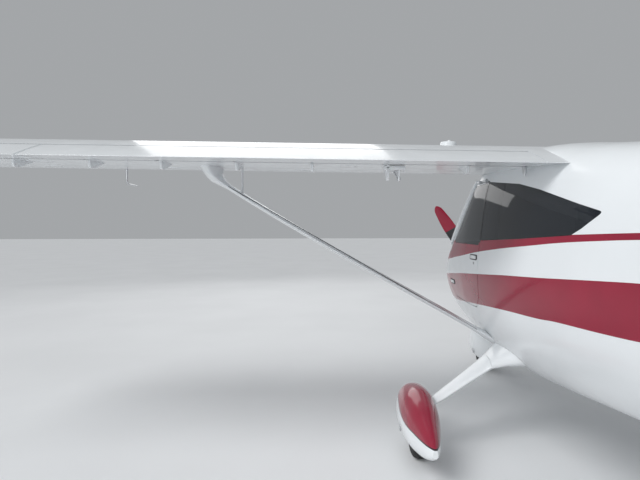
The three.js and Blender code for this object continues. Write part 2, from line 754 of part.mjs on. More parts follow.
// The wing's underside with what lies above it, to cut what meets it from below
function wingFromBelow() {
  const layers = [-FIT_GAP, 40].map((shift) => (
    loft([300, 4400].map((y) => wingRing(y).map(([x, , z]) => [x, y, z + shift])))
  ));
  return layers[0].add(layers[1]);
}

placePair('strut', strut(), 'white');

// Main gear

function axle([x, y, z], fromY, toY) {
  return bar([x, fromY, z], [x, toY, z], AXLE_RADIUS, AXLE_RADIUS, 16);
}

function tyre(centre) {
  const half = TYRE_WIDTH / 2;
  const profile = [
    [RIM_RADIUS + PIN_GAP, -half * 0.7], [TYRE_RADIUS - 40, -half], [TYRE_RADIUS - 11, -half * 0.76],
    [TYRE_RADIUS, -half * 0.34], [TYRE_RADIUS, half * 0.34], [TYRE_RADIUS - 11, half * 0.76],
    [TYRE_RADIUS - 40, half], [RIM_RADIUS + PIN_GAP, half * 0.7], [RIM_RADIUS + PIN_GAP, -half * 0.7],
  ];
  return turned(profile, centre, 'y', WHEEL_STEPS);
}

function hub(centre) {
  const bore = AXLE_RADIUS + PIN_GAP;
  const profile = [
    [bore, -40], [40, -26], [RIM_RADIUS, -38], [RIM_RADIUS, 38], [40, 26], [bore, 40], [bore, -40],
  ];
  return turned(profile, centre, 'y', WHEEL_STEPS);
}

function spatBody([axleX, axleY], inset, table) {
  const rings = table.filter((row, i) => inset === 0 || (i > 0 && i < table.length - 1));
  return loft(rings.map(([offset, top, bottom, half]) => {
    const middle = (top + bottom) / 2;
    const [a, b] = [half - inset, (top - bottom) / 2 - inset];
    return Array.from({ length: SPAT_POINTS }, (_, i) => {
      const angle = (2 * Math.PI * i) / SPAT_POINTS;
      const across = Math.sign(Math.cos(angle)) * Math.abs(Math.cos(angle)) ** 0.85;
      const up = Math.sign(Math.sin(angle)) * Math.abs(Math.sin(angle)) ** 0.85;
      const belly = 1 - SPAT_BELLY * up;
      return [axleX + offset, axleY + a * across * belly, middle + b * up];
    });
  }));
}

// A hollow fairing, open below for the wheel
function spat(centre, reach, table) {
  const [x, y] = centre;
  const half = TYRE_WIDTH / 2 + 14;
  const wheelSlot = box([x - reach, y - half, 0], [x + reach, y + half, 200]);
  return spatBody(centre, 0, table).subtract(spatBody(centre, SPAT_WALL, table)).subtract(wheelSlot);
}

function mainSpat() {
  const [x, y] = MAIN_AXLE;
  const legHole = box([x - 62, y - 190, 90], [x + 110, y - 60, 385]);
  return spat(MAIN_AXLE, MAIN_SLOT_REACH, SPAT).subtract(legHole).add(mainSpatBracket());
}

// Bracket on the outboard wall that the axle's end carries
function mainSpatBracket() {
  const [x, y, z] = MAIN_AXLE;
  return bar([x, y + MAIN_AXLE_END + FIT_GAP, z], [x, y + 108, z], BOSS_RADIUS, BOSS_RADIUS, 16);
}

placePair('gear_leg', mainLeg(), 'white');
placePair('axle', axle(MAIN_AXLE, MAIN_AXLE[1] - MAIN_AXLE_START, MAIN_AXLE[1] + MAIN_AXLE_END), 'metal');
placePair('tyre', tyre(MAIN_AXLE), 'rubber');
placePair('wheel_hub', hub(MAIN_AXLE), 'metal');
placePair('spat', mainSpat(), 'crimson');

// Nose gear, steered about a raked leg

const [noseX, , noseZ] = NOSE_AXLE;
const legX = (z) => noseX - (z - noseZ) * Math.tan(STEER_RAKE);

function noseBore() {
  const bore = AXLE_RADIUS + PIN_GAP;
  return bar([noseX, -120, noseZ], [noseX, 120, noseZ], bore, bore, 16);
}

// A round bar along the leg's axis between two heights
function alongLeg(fromZ, toZ, radius) {
  return bar([legX(fromZ), 0, fromZ], [legX(toZ), 0, toZ], radius, radius, 16);
}

// The steered leg with its fork, which lies inside the spat
function noseLeg() {
  const [crownX, crownHalf] = [legX(FORK_Z), FORK_HALF + FORK_BLADE_HALF];
  let leg = alongLeg(FORK_Z, LEG_TOP_Z, LEG_RADIUS);
  leg = leg.add(box([crownX - 32, -crownHalf, FORK_Z - 10], [crownX + 32, crownHalf, FORK_Z + 10]));
  for (const y of [-FORK_HALF, FORK_HALF]) {
    const lowZ = noseZ - BOSS_RADIUS;
    const blade = [[crownX - 28, FORK_Z], [noseX - 24, lowZ], [noseX + 24, lowZ], [crownX + 28, FORK_Z]];
    leg = leg.add(prism(blade, y - FORK_BLADE_HALF, y + FORK_BLADE_HALF));
  }
  return leg.subtract(noseBore());
}

function noseSpat() {
  const shell = spat(NOSE_AXLE, NOSE_SLOT_REACH, NOSE_SPAT).subtract(alongLeg(400, 520, LEG_RADIUS + 0.5));
  const inner = NOSE_AXLE_END + FIT_GAP;
  const boss = bar([noseX, inner, noseZ], [noseX, 105, noseZ], BOSS_RADIUS, BOSS_RADIUS, 12);
  return shell.add(boss).add(mirrored(boss));
}

// Bearing block under the engine that the leg turns in
function noseBearing() {
  const [bottom, top] = [NOSE_LEG_SLOT[1][2], ENGINE[0][2] - PIN_GAP];
  const [rear, front] = [legX(780) - BEARING_HALF, legX(780) + BEARING_HALF];
  const block = box([rear, -BEARING_HALF, bottom], [front, BEARING_HALF, top]);
  return block.subtract(alongLeg(600, 900, LEG_RADIUS + 0.9));
}

place('nose_leg', noseLeg(), 'metal');
place('nose_axle', axle(NOSE_AXLE, -NOSE_AXLE_END, NOSE_AXLE_END), 'metal');
place('nose_tyre', tyre(NOSE_AXLE), 'rubber');
place('nose_hub', hub(NOSE_AXLE), 'metal');
place('nose_spat', noseSpat(), 'crimson');
place('nose_bearing', noseBearing(), 'metal');

// Propeller

// Each blade's direction in Y and Z
const bladeWays = Array.from({ length: BLADE_COUNT }, (_, k) => {
  const spin = FIRST_BLADE + (2 * Math.PI * k) / BLADE_COUNT;
  return [Math.sin(spin), Math.cos(spin)];
});

// A round bar along the propeller's axis, from and to distances ahead of its plane
function onShaft(from, to, radius) {
  return bar([PROP_X + from, 0, PROP_AXIS_Z], [PROP_X + to, 0, PROP_AXIS_Z], radius, radius, 20);
}

function propeller() {
  let prop = onShaft(-HUB_HALF, HUB_HALF, HUB_RADIUS);
  for (const [outY, outZ] of bladeWays) {
    const rings = BLADE.map(([share, chord, thickness, pitch]) => {
      const twist = THREE.MathUtils.degToRad(pitch);
      return Array.from({ length: BLADE_POINTS }, (_, i) => {
        const angle = (2 * Math.PI * i) / BLADE_POINTS;
        const [along, out] = [(chord / 2) * Math.cos(angle), (thickness / 2) * Math.sin(angle)];
        const forward = along * Math.sin(twist) + out * Math.cos(twist);
        const across = along * Math.cos(twist) - out * Math.sin(twist);
        const reach = share * PROP_RADIUS;
        return [PROP_X + forward, reach * outY + across * outZ, PROP_AXIS_Z + reach * outZ - across * outY];
      });
    });
    prop = prop.add(loft(rings));
  }
  return prop;
}

function spinner() {
  const shell = turned(SPINNER, [PROP_X, 0, PROP_AXIS_Z], 'x', 20);
  let cut = shell.subtract(onShaft(-90, HUB_HALF + PIN_GAP, HUB_RADIUS + FIT_GAP));
  for (const [outY, outZ] of bladeWays) {
    const alongBlade = (radius) => [PROP_X, radius * outY, PROP_AXIS_Z + radius * outZ];
    cut = cut.subtract(bar(alongBlade(-20), alongBlade(SPINNER_RADIUS + 20), SPINNER_HOLE, SPINNER_HOLE));
  }
  return cut;
}

place('propeller', propeller(), 'dark');
place('spinner', spinner(), 'white');

// Tail

// A symmetric section as X and half thickness, from the leading edge round
function tailSection(lead, trail, thickness) {
  const side = TAIL_HALF_SECTION.map(([at, share]) => [lead - at * (lead - trail), share * thickness]);
  return [[lead, 0], ...side, ...side.reverse().map(([x, out]) => [x, -out])];
}

const finLoft = loft(FIN.map(([z, lead, trail, thickness]) => (
  tailSection(lead, trail, thickness).map(([x, y]) => [x, y, z])
)));
const behindRudderPost = (fromZ) => box([-BEYOND, -BEYOND, fromZ], [RUDDER_X, BEYOND, BEYOND]);

function rudderPost(fromZ, toZ, radius, endRadius = radius) {
  return bar([RUDDER_X, 0, fromZ], [RUDDER_X, 0, toZ], radius, endRadius, TAIL_HINGE_SIDES);
}

// A tapering round bar through places along it, each with its radius, and with room added round it
function nose(table, post, grow) {
  const places = table.map(([at, radius]) => [at, radius + grow]);
  const [below, above] = [places[0], places[places.length - 1]];
  const ends = grow ? [[below[0] - 200, below[1]], ...places, [above[0] + 60, above[1]]] : places;
  const pieces = ends.slice(1).map(([at, radius], i) => post(ends[i][0], at, ends[i][1], radius));
  return pieces.reduce((sum, piece) => sum.add(piece));
}

function fin() {
  let panel = finLoft.subtract(behindRudderPost(0)).subtract(nose(RUDDER_NOSE, rudderPost, MOVING_GAP + 1));
  for (const z of FIN_BRACKETS) {
    const [low, high] = [z - TAIL_HINGE_HALF, z + TAIL_HINGE_HALF];
    panel = panel.add(box([RUDDER_X, -6, low], [RUDDER_X + 70, 6, high])).add(rudderPost(low, high, 12));
  }
  return panel.subtract(bodyOutside);
}

function rudder() {
  const half = TAIL_HINGE_HALF + PIN_GAP;
  let panel = finLoft.intersect(behindRudderPost(RUDDER_BOTTOM_Z)).add(nose(RUDDER_NOSE, rudderPost, 0));
  for (const z of FIN_BRACKETS) {
    panel = panel.subtract(box([RUDDER_X - 20, -60, z - half], [RUDDER_X + 60, 60, z + half]));
  }
  return panel;
}

const tailplaneLoft = loft(TAILPLANE.map(([y, lead, trail, thickness]) => (
  tailSection(lead, trail, thickness).map(([x, z]) => [x, y, ELEVATOR_Z + z])
)));

function elevatorBar(fromY, toY, radius, endRadius = radius) {
  const [from, to] = [[ELEVATOR_X, fromY, ELEVATOR_Z], [ELEVATOR_X, toY, ELEVATOR_Z]];
  return bar(from, to, radius, endRadius, TAIL_HINGE_SIDES);
}

function stabilizer() {
  const front = box([ELEVATOR_X, 0, 0], [0, BEYOND, BEYOND]);
  const cut = tailplaneLoft.intersect(front).subtract(nose(ELEVATOR_NOSE, elevatorBar, MOVING_GAP + 1));
  return cut.subtract(bodyOutside);
}

function elevator() {
  const behind = box([-BEYOND, ELEVATOR_Y[0], 0], [ELEVATOR_X, BEYOND, BEYOND]);
  const half = tailplaneLoft.intersect(behind).add(nose(ELEVATOR_NOSE, elevatorBar, 0));
  return half.add(mirrored(half)).add(elevatorBar(-ELEVATOR_Y[0] - 16, ELEVATOR_Y[0] + 16, ELEVATOR_TUBE));
}

place('fin', fin(), 'white');
place('rudder', rudder(), 'white');
placePair('stabilizer', stabilizer(), 'white');
place('elevator', elevator(), 'white');

// Cabin

const cabin = [TAIL_X, FIREWALL_X];
const cabinInside = bodySolid(...cabin, CABIN_WALL + FIT_GAP);

function stickTube(grow) {
  const { x, z, radius, half } = STICK_TUBE;
  return bar([x, -half - grow, z], [x, half + grow, z], radius + grow);
}

function cabinFloor() {
  const floor = box([FLOOR.from, -BEYOND, 0], [FLOOR.to, BEYOND, FLOOR.z]);
  const tunnel = box(...TUNNEL).subtract(stickTube(FIT_GAP));
  const base = box(...SEAT_BASE);
  return floor.add(tunnel).add(base).add(mirrored(base)).intersect(cabinInside);
}

function seat() {
  const room = bodySolid(...cabin, CABIN_WALL + MOVING_GAP);
  return prism(CUSHION, ...SEAT_Y).add(prism(SEAT_BACK, ...SEAT_Y)).intersect(room);
}

// The cross tube with a stick and its grip on each side
function controlSticks() {
  const { x, z, half } = STICK_TUBE;
  let sticks = stickTube(0);
  for (const y of [-half, half]) {
    sticks = sticks.add(bar([x, y, z], [x - 50, y, 880], 11, 11, 8));
    sticks = sticks.add(bar([x - 50, y, 875], [x - 68, y, 990], 16, 18, 8));
  }
  return sticks;
}

place('cabin_floor', cabinFloor(), 'dark');
placePair('seat', seat(), 'fabric');
place('control_sticks', controlSticks(), 'dark');
place('instrument_panel', prism(PANEL, ...bothSides).intersect(cabinInside), 'dark');
place('baggage_bulkhead', bodySolid(...BULKHEAD_X, CABIN_WALL + FIT_GAP), 'fabric');

aircraft.position.x = FRAME_SHIFT;

export default aircraft;
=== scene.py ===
import math

import bmesh
import bpy
import numpy as np
from mathutils import Matrix, Vector
from mathutils.bvhtree import BVHTree
from mathutils.interpolate import poly_3d_calc


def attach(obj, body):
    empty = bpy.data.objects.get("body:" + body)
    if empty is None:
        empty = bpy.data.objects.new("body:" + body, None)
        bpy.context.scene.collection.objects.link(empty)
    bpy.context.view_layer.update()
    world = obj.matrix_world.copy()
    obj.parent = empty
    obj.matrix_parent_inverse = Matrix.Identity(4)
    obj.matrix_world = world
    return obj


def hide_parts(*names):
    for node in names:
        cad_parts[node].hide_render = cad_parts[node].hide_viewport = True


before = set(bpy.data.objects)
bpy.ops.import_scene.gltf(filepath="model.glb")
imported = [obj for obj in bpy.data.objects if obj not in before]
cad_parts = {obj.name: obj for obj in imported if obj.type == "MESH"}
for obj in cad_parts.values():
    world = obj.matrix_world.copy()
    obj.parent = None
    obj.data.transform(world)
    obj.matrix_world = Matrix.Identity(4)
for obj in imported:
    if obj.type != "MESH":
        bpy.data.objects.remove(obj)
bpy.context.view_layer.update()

# Tables are in millimetres, as in the part's drawing: X is 0 at the wing's trailing edge at the root.
# Meshes are in metres in the row's frame, which starts SHIFT further back.
SHIFT = 0.11

# x, top, bottom, height of the widest place, half width, roof taper, upper and lower roundness
BODY = [
    (2920, 1140, 830, 1000, 190, 0.0, 2.1, 2.1), (2865, 1182, 745, 1003, 278, 0.0, 2.3, 2.2),
    (2700, 1218, 668, 1010, 365, 0.01, 2.4, 2.15), (2450, 1240, 616, 1022, 425, 0.02, 2.5, 2.1),
    (2200, 1262, 575, 1035, 470, 0.04, 2.6, 2.0),
    (1900, 1300, 515, 1080, 555, 0.06, 2.8, 1.85), (1750, 1395, 490, 1110, 598, 0.09, 3.2, 1.85),
    (1500, 1640, 465, 1150, 624, 0.12, 3.9, 1.95), (1200, 1850, 450, 1160, 627, 0.13, 5.2, 2.1),
    (1050, 1915, 448, 1160, 622, 0.13, 6.0, 2.2), (800, 1946, 457, 1160, 607, 0.13, 6.0, 2.3),
    (400, 1928, 480, 1160, 565, 0.13, 5.2, 2.35), (0, 1873, 512, 1165, 502, 0.12, 4.4, 2.35),
    (-600, 1788, 570, 1200, 388, 0.06, 2.8, 2.35), (-1600, 1620, 800, 1240, 215, 0.02, 2.1, 2.1),
    (-2600, 1470, 985, 1240, 125, 0.0, 2.0, 2.0), (-3020, 1390, 1085, 1240, 74, 0.0, 2.0, 2.0),
    (-3100, 1330, 1150, 1240, 36, 0.0, 2.0, 2.0),
]
TAIL_X, FIREWALL_X, COWL_FRONT_X = -3100, 1900, 2920
DOOR = [(820, 1748), (1086, 1748), (1540, 1292), (1580, 1180), (1500, 905), (900, 905), (820, 990)]
DOOR_GLASS = [(828, 1739), (1076, 1739), (1478, 1328), (828, 1328)]
QUARTER_GLASS = [(808, 1745), (382, 1697), (162, 1650), (-184, 1557), (-350, 1515), (-228, 1441),
                 (-160, 1409), (286, 1382), (808, 1358)]
WINDSHIELD = [(1160, 2050), (1160, 1795), (1612, 1322), (1850, 1335), (2050, 1430), (2050, 2050)]
SEAM, SKIN = 4.5, 25
GLASS_SINK, GLASS_THICK = 1.2, 5

CHORD, THICKNESS, CAMBER, CAMBER_AT = 1215, 0.14, 0.04, 0.4
INCIDENCE = math.radians(4.9)
DIHEDRAL = math.tan(math.radians(1.15))
TRAILING_EDGE_Z = 1762
WING_TIP_Y, TIP_LENGTH = 4700, 260
HINGE_AT = 0.775
FLAP_Y, AILERON_Y = (495, 3190), (3205, 4400)
FLAP_BRACKETS = (810, 1260, 1690, 2120, 2550, 2960)
AILERON_BRACKETS = (3400, 3800, 4200)
HORN_Y = 1260

MAIN_AXLE, NOSE_AXLE = (630, 1030, 182), (2650, 0, 182)
PROP_AXIS_Z, PROP_X, PROP_RADIUS, SPINNER_RADIUS = 1015, 3010, 780, 122
RUDDER_X, RUDDER_BOTTOM_Z = -3060, 1408
ELEVATOR_X, ELEVATOR_Z = -2960, 1240


# Numbers

def between(table, at):
    """Each column of a table at places between its rows, with no overshoot."""
    rows = np.array(sorted(table), float)
    at = np.atleast_1d(np.asarray(at, float))
    x, v = rows[:, 0], rows[:, 1:]
    step = np.diff(v, axis=0) / np.diff(x)[:, None]
    slope = np.zeros_like(v)
    slope[0], slope[-1] = step[0], step[-1]
    product, total = step[:-1] * step[1:], step[:-1] + step[1:]
    slope[1:-1] = np.where(product > 0, 2 * product / np.where(total == 0, 1, total), 0)
    i = np.clip(np.searchsorted(x, at, side="right") - 1, 0, len(x) - 2)
    width = (x[i + 1] - x[i])[:, None]
    t = (at - x[i])[:, None] / width
    rise = t * t * (3 - 2 * t)
    bend = slope[i] * t * (1 - t) ** 2 + slope[i + 1] * t * t * (t - 1)
    return v[i] * (1 - rise) + v[i + 1] * rise + width * bend


def straight(table, at):
    """Each column of a table at a place, straight between its rows."""
    rows = np.array(sorted(table), float)
    return [np.interp(at, rows[:, 0], rows[:, k]) for k in range(1, rows.shape[1])]


def resample(points, count):
    """The same open line with evenly spaced points."""
    points = np.asarray(points, float)
    run = np.concatenate([[0], np.cumsum(np.linalg.norm(np.diff(points, axis=0), axis=1))])
    at = np.linspace(0, run[-1], count)
    return np.stack([np.interp(at, run, points[:, k]) for k in range(points.shape[1])], 1)


def along(ends, share):
    """The place a share of the way from one end to the other."""
    return tuple(start + (end - start) * share for start, end in zip(*ends))


def metres(points):
    """Drawing millimetres to the row's frame in metres."""
    return np.asarray(points, float) / 1000 + [SHIFT, 0, 0]


# A corner that would be rounded over less than this stays as it is
LEAST_ROUND = 1.5


def rounded(outline, radius, steps=6):
    """An outline with its corners rounded, but those that are nearly straight."""
    points = [Vector(p) for p in outline]
    out = []
    for i, corner in enumerate(points):
        back, ahead = points[i - 1] - corner, points[(i + 1) % len(points)] - corner
        half = back.angle(ahead) / 2
        reach = min(radius / math.tan(half), back.length * 0.45, ahead.length * 0.45)
        start, end = corner + back.normalized() * reach, corner + ahead.normalized() * reach
        if reach < LEAST_ROUND:
            out.append(corner)
            continue
        for k in range(steps + 1):
            t = k / steps
            out.append(start * (1 - t) ** 2 + corner * 2 * t * (1 - t) + end * t * t)
    return [tuple(p) for p in out]


def inset(outline, distance):
    """A convex outline moved inwards by a distance, or outwards if it is negative."""
    points = np.asarray(outline, float)
    after = np.roll(points, -1, axis=0)
    area = np.sum(points[:, 0] * after[:, 1] - after[:, 0] * points[:, 1])
    run = after - points
    run /= np.linalg.norm(run, axis=1)[:, None]
    normal = np.stack([-run[:, 1], run[:, 0]], 1) * np.sign(area)
    reach = np.sum(normal * points, 1) + distance
    last, last_reach = np.roll(normal, 1, axis=0), np.roll(reach, 1)
    det = last[:, 0] * normal[:, 1] - last[:, 1] * normal[:, 0]
    x = (last_reach * normal[:, 1] - reach * last[:, 1]) / det
    z = (last[:, 0] * reach - normal[:, 0] * last_reach) / det
    return np.stack([x, z], 1)


# Meshes

def new_object(name, verts, faces, recalculate=True):
    """A mesh object from points and faces, joined where points meet unless it is told not to."""
    mesh = bpy.data.meshes.new(name)
    mesh.from_pydata([tuple(v) for v in verts], [], [tuple(f) for f in faces])
    if recalculate:
        shape = bmesh.new()
        shape.from_mesh(mesh)
        bmesh.ops.remove_doubles(shape, verts=shape.verts, dist=1e-6)
        bmesh.ops.recalc_face_normals(shape, faces=shape.faces)
        shape.to_mesh(mesh)
        shape.free()
    obj = bpy.data.objects.new(name, mesh)
    bpy.context.scene.collection.objects.link(obj)
    return obj


def loft(name, rings, caps=True, closed=True):
    """A surface through rings of equally many points, in metres."""
    rings = np.asarray(rings, float)
    n, m = rings.shape[:2]
    last = m if closed else m - 1
    faces = [(r * m + i, r * m + (i + 1) % m, (r + 1) * m + (i + 1) % m, (r + 1) * m + i)
             for r in range(n - 1) for i in range(last)]
    if caps:
        faces += [tuple(range(m))[::-1], tuple((n - 1) * m + i for i in range(m))]
    return new_object(name, rings.reshape(-1, 3), faces)


def prism(name, outline, low, high, axis="y"):
    """An outline in drawing millimetres carried along the axis that its two coordinates leave out."""
    at = "xyz".index(axis)
    return loft(name, [metres([(*point[:at], end, *point[at:]) for point in outline]) for end in (low, high)])


def box(name, low, high):
    """A block between two corners in drawing millimetres."""
    (x, y, z), (far_x, far_y, far_z) = low, high
    return prism(name, [(x, y), (far_x, y), (far_x, far_y), (x, far_y)], z, far_z, "z")


def tube(name, line, radii, sides=24):
    """A round tube along a line of points in metres, with a radius at each."""
    line = np.asarray(line, float)
    radii = np.broadcast_to(radii, len(line))
    run = np.gradient(line, axis=0)
    run /= np.linalg.norm(run, axis=1)[:, None]
    side = np.cross(run[0], [0.31, 0.17, 0.93])
    rings = []
    for p, d, radius in zip(line, run, radii):
        side = side - d * np.dot(side, d)
        side /= np.linalg.norm(side)
        up = np.cross(d, side)
        angle = np.linspace(0, 2 * np.pi, sides, endpoint=False)[:, None]
        rings.append(p + radius * (np.cos(angle) * side + np.sin(angle) * up))
    return loft(name, rings)


def turned(name, profile, centre, axis, sides=64):
    """A closed or axis-to-axis profile of (radius, offset) in mm turned about X or Y through a centre."""
    radial, along = np.asarray(profile, float).T
    rings = []
    for a in np.linspace(0, 2 * np.pi, sides, endpoint=False):
        across, up = radial * math.sin(a), radial * math.cos(a)
        ring = (across, along, up) if axis == "y" else (along, across, up)
        rings.append(metres(np.stack(ring, 1) + centre))
    return loft(name, [*rings, rings[0]], caps=False, closed=False)


def copy_of(obj, name):
    copy = bpy.data.objects.new(name, obj.data.copy())
    bpy.context.scene.collection.objects.link(copy)
    return copy


def mirror(obj, name):
    """A copy on the other side."""
    copy = copy_of(obj, name)
    copy.data.transform(Matrix.Scale(-1, 4, (0, 1, 0)))
    copy.data.flip_normals()
    return copy


def apply(obj):
    """Puts what the object's modifiers make into its mesh."""
    graph = bpy.context.evaluated_depsgraph_get()
    mesh = bpy.data.meshes.new_from_object(obj.evaluated_get(graph))
    obj.modifiers.clear()
    old = obj.data
    obj.data = mesh
    bpy.data.meshes.remove(old)
    return obj


def combine(obj, other, operation="DIFFERENCE", keep=False):
    """Cuts, joins or meets a piece with another, which goes unless it is kept."""
    modifier = obj.modifiers.new("cut", "BOOLEAN")
    modifier.operation = operation
    modifier.object = other
    modifier.solver = "MANIFOLD"
    apply(obj)
    if not keep:
        remove(other)
    return obj


def remove(obj):
    mesh = obj.data
    bpy.data.objects.remove(obj)
    bpy.data.meshes.remove(mesh)


class Source:
    """A smooth surface whose normals a cut copy of it takes."""

    def __init__(self, obj):
        mesh = obj.data
        self.verts = [v.co.copy() for v in mesh.vertices]
        self.normals = [v.normal.copy() for v in mesh.vertices]
        self.faces = [tuple(p.vertices) for p in mesh.polygons if len(p.vertices) <= 4]
        self.tree = BVHTree.FromPolygons(self.verts, self.faces)

    def normal(self, point):
        """The surface's normal at a point that lies on it, else None."""
        place, _, index, distance = self.tree.find_nearest(point)
        if place is None or distance > SOURCE_REACH:
            return None
        face = self.faces[index]
        weights = poly_3d_calc([self.verts[i] for i in face], place)
        total = Vector((0, 0, 0))
        for weight, i in zip(weights, face):
            total += self.normals[i] * weight
        return total.normalized()


# How far in metres a cut surface's point may lie from the surface that it was cut from
SOURCE_REACH = 0.0008


def smooth(obj, angle=35, sources=()):
    """Smooth shading with sharp edges, and on cut surfaces the normals of what they were cut from.
    Returns for each face the number of the source that it lies on, or -1."""
    mesh = obj.data
    mesh.polygons.foreach_set("use_smooth", [True] * len(mesh.polygons))
    mesh.set_sharp_from_angle(angle=math.radians(angle))
    if not sources:
        return []
    base = [Vector(n.vector) for n in mesh.corner_normals]
    found = {}
    normals, owners = [None] * len(mesh.loops), []
    for polygon in mesh.polygons:
        votes = []
        for loop in polygon.loop_indices:
            vertex = mesh.loops[loop].vertex_index
            if vertex not in found:
                found[vertex] = [s.normal(mesh.vertices[vertex].co) for s in sources]
            best = next(((k, n * sign) for k, n in enumerate(found[vertex]) if n is not None
                         for sign in (1, -1) if (n * sign).dot(polygon.normal) > 0.9), None)
            votes.append(-1 if best is None else best[0])
            normals[loop] = base[loop] if best is None else best[1]
        owners.append(votes[0] if len(set(votes)) == 1 else -1)
    mesh.normals_split_custom_set([tuple(n) for n in normals])
    return owners


# Surface of the body

RING_QUARTER = 20


def quadrant(width, height, exponent, taper):
    """A quarter of a rounded outline from its side to its top, narrowed towards the top by a share."""
    s = np.linspace(0, 1, 320)
    phi = s ** 3 / (s ** 3 + (1 - s) ** 3) * np.pi / 2
    across, up = np.abs(np.cos(phi)) ** (2 / exponent), np.abs(np.sin(phi)) ** (2 / exponent)
    across[-1] = up[0] = 0
    soft = up * up * 1.15 / (up + 0.15)
    return resample(np.stack([width * across * (1 - taper * soft), height * up], 1), RING_QUARTER + 1)


def body_rings(places, inward):
    """Rings round the body at places along it, in metres, moved inwards by millimetres."""
    rings = []
    for x, row in zip(places, between(BODY, places)):
        top, bottom, waist, half, taper, upper, lower = row
        above = quadrant(half - inward, top - waist - inward, upper, taper)
        below = quadrant(half - inward, waist - bottom - inward, lower, 0)
        ring = [(y, waist + z) for y, z in above[:-1]] + [(-y, waist + z) for y, z in above[:0:-1]]
        ring += [(-y, waist - z) for y, z in below[:-1]] + [(y, waist - z) for y, z in below[:0:-1]]
        rings.append(metres([(x, y, z) for y, z in ring]))
    return rings


# Where the body's rings lie: from, to, step
RING_STEPS = [(-3100, -3000, 20), (-3000, -600, 60), (-600, 2700, 30), (2700, 2860, 20), (2860, 2921, 10)]


def body_places(low, high):
    return [low, *(x for steps in RING_STEPS for x in range(*steps) if low < x < high), high]


def body_loft(name, low, high, inward=0.0):
    return loft(name, body_rings(body_places(low, high), inward))


def body_half_width(x, z, inward=0.0):
    """Half width of the body at places along it and at heights, in millimetres."""
    top, bottom, waist, half, taper, upper, lower = between(BODY, x).T
    above = z >= waist
    height = np.where(above, top - waist, waist - bottom) - inward
    up = np.minimum(np.abs(z - waist) / height, 1)
    soft = np.where(above, up * up * 1.15 / (up + 0.15), 0)
    power = np.where(above, upper, lower)
    return (half - inward) * (1 - taper * soft) * np.maximum(1 - up ** power, 0) ** (1 / power)


def way_out(place, x, y, step_x, step_y, toward):
    """The normal of a surface that place gives for two numbers, on the side that toward points to."""
    run = place(x + step_x, y) - place(x - step_x, y)
    normal = run.cross(place(x, y + step_y) - place(x, y - step_y)).normalized()
    return normal if normal.dot(toward) > 0 else -normal


def on_body(x, z, out=0.0):
    """A place on the body's left side and the way out of the skin there, in metres."""
    def place(px, pz):
        return Vector(metres((px, body_half_width(px, pz)[0], pz)))
    normal = way_out(place, x, z, 4, 4, Vector((0, 1, 0)))
    return place(x, z) + normal * out / 1000, normal


# Surface of the wing

def section(at):
    """A fifth of a symmetric airfoil's half height at shares of its chord, for a thickness of 1."""
    return 0.2969 * np.sqrt(at) - 0.126 * at - 0.3516 * at ** 2 + 0.2843 * at ** 3 - 0.1036 * at ** 4


def airfoil(at, side):
    """Height of the wing's upper (1), middle (0) or lower (-1) line at shares of the chord."""
    at = np.asarray(at, float)
    half = 5 * THICKNESS * section(at)
    ahead = (CAMBER / CAMBER_AT ** 2) * (2 * CAMBER_AT * at - at * at)
    behind = (CAMBER / (1 - CAMBER_AT) ** 2) * (1 - 2 * CAMBER_AT + 2 * CAMBER_AT * at - at * at)
    return np.where(at < CAMBER_AT, ahead, behind) + side * np.maximum(half, 0.0008)


def wing_place(at, height, chord=CHORD, shift=0.0):
    """Chord and height fractions as X and Z at the wing's root, in drawing millimetres."""
    ahead = (1 - np.asarray(at)) * chord + shift
    x = ahead * math.cos(INCIDENCE) - height * chord * math.sin(INCIDENCE)
    z = ahead * math.sin(INCIDENCE) + height * chord * math.cos(INCIDENCE) + TRAILING_EDGE_Z
    return x, z


def wing_ring(y, scale=1.0, flatten=1.0):
    """The wing's section at a place along the span, with its chord and its thickness scaled."""
    at = (1 - np.cos(np.linspace(0, np.pi, 37))) / 2
    middle = airfoil(at, 0)
    top = middle + (airfoil(at, 1) - middle) * flatten
    bottom = middle + (airfoil(at, -1) - middle) * flatten
    at_ring = np.concatenate([at, at[:0:-1]])
    height = np.concatenate([top, bottom[:0:-1]])
    x, z = wing_place(at_ring, height, CHORD * scale, (1 - scale) * CHORD * 0.35)
    return metres(np.stack([x, np.full_like(x, y), z + abs(y) * DIHEDRAL], 1))


# The wing's tip: share of its length, chord as a share of the wing's
TIP = [(0, 1), (0.45, 0.96), (0.75, 0.86), (0.93, 0.66), (1, 0.42)]


def wing_loft():
    """The left wing from the middle of the aeroplane to its rounded tip."""
    start = WING_TIP_Y - TIP_LENGTH
    rings = [wing_ring(y) for y in np.linspace(0, start, 24)]
    for s in np.sin(np.linspace(0, np.pi / 2, 22))[1:]:
        flatten = max(1 - s ** 7, 0.0) ** 0.5 * 0.86 + 0.14
        rings.append(wing_ring(start + s * TIP_LENGTH, between(TIP, s)[0][0], flatten))
    return loft("wing_skin", rings)


def spanwise(name, profile, from_y, to_y):
    """A closed outline in X and Z carried along the span, rising with the wing."""
    return loft(name, [metres([(x, y, z + abs(y) * DIHEDRAL) for x, z in profile]) for y in (from_y, to_y)])


def circle(x, z, radius):
    return [(x + radius * math.cos(a), z + radius * math.sin(a))
            for a in np.linspace(0, 2 * math.pi, 48, endpoint=False)]


HINGE_X, HINGE_Z = (float(v) for v in wing_place(HINGE_AT, airfoil(HINGE_AT, 0)))
NOSE_SHARE = 0.97
NOSE_RADIUS = NOSE_SHARE * float(airfoil(HINGE_AT, 1) - airfoil(HINGE_AT, 0)) * CHORD


# Materials

def node(tree, kind, **settings):
    """A new shader node with its inputs and settings."""
    made = tree.nodes.new(kind)
    for key, value in settings.items():
        if key in made.inputs.keys():
            made.inputs[key].default_value = value
        else:
            setattr(made, key, value)
    return made


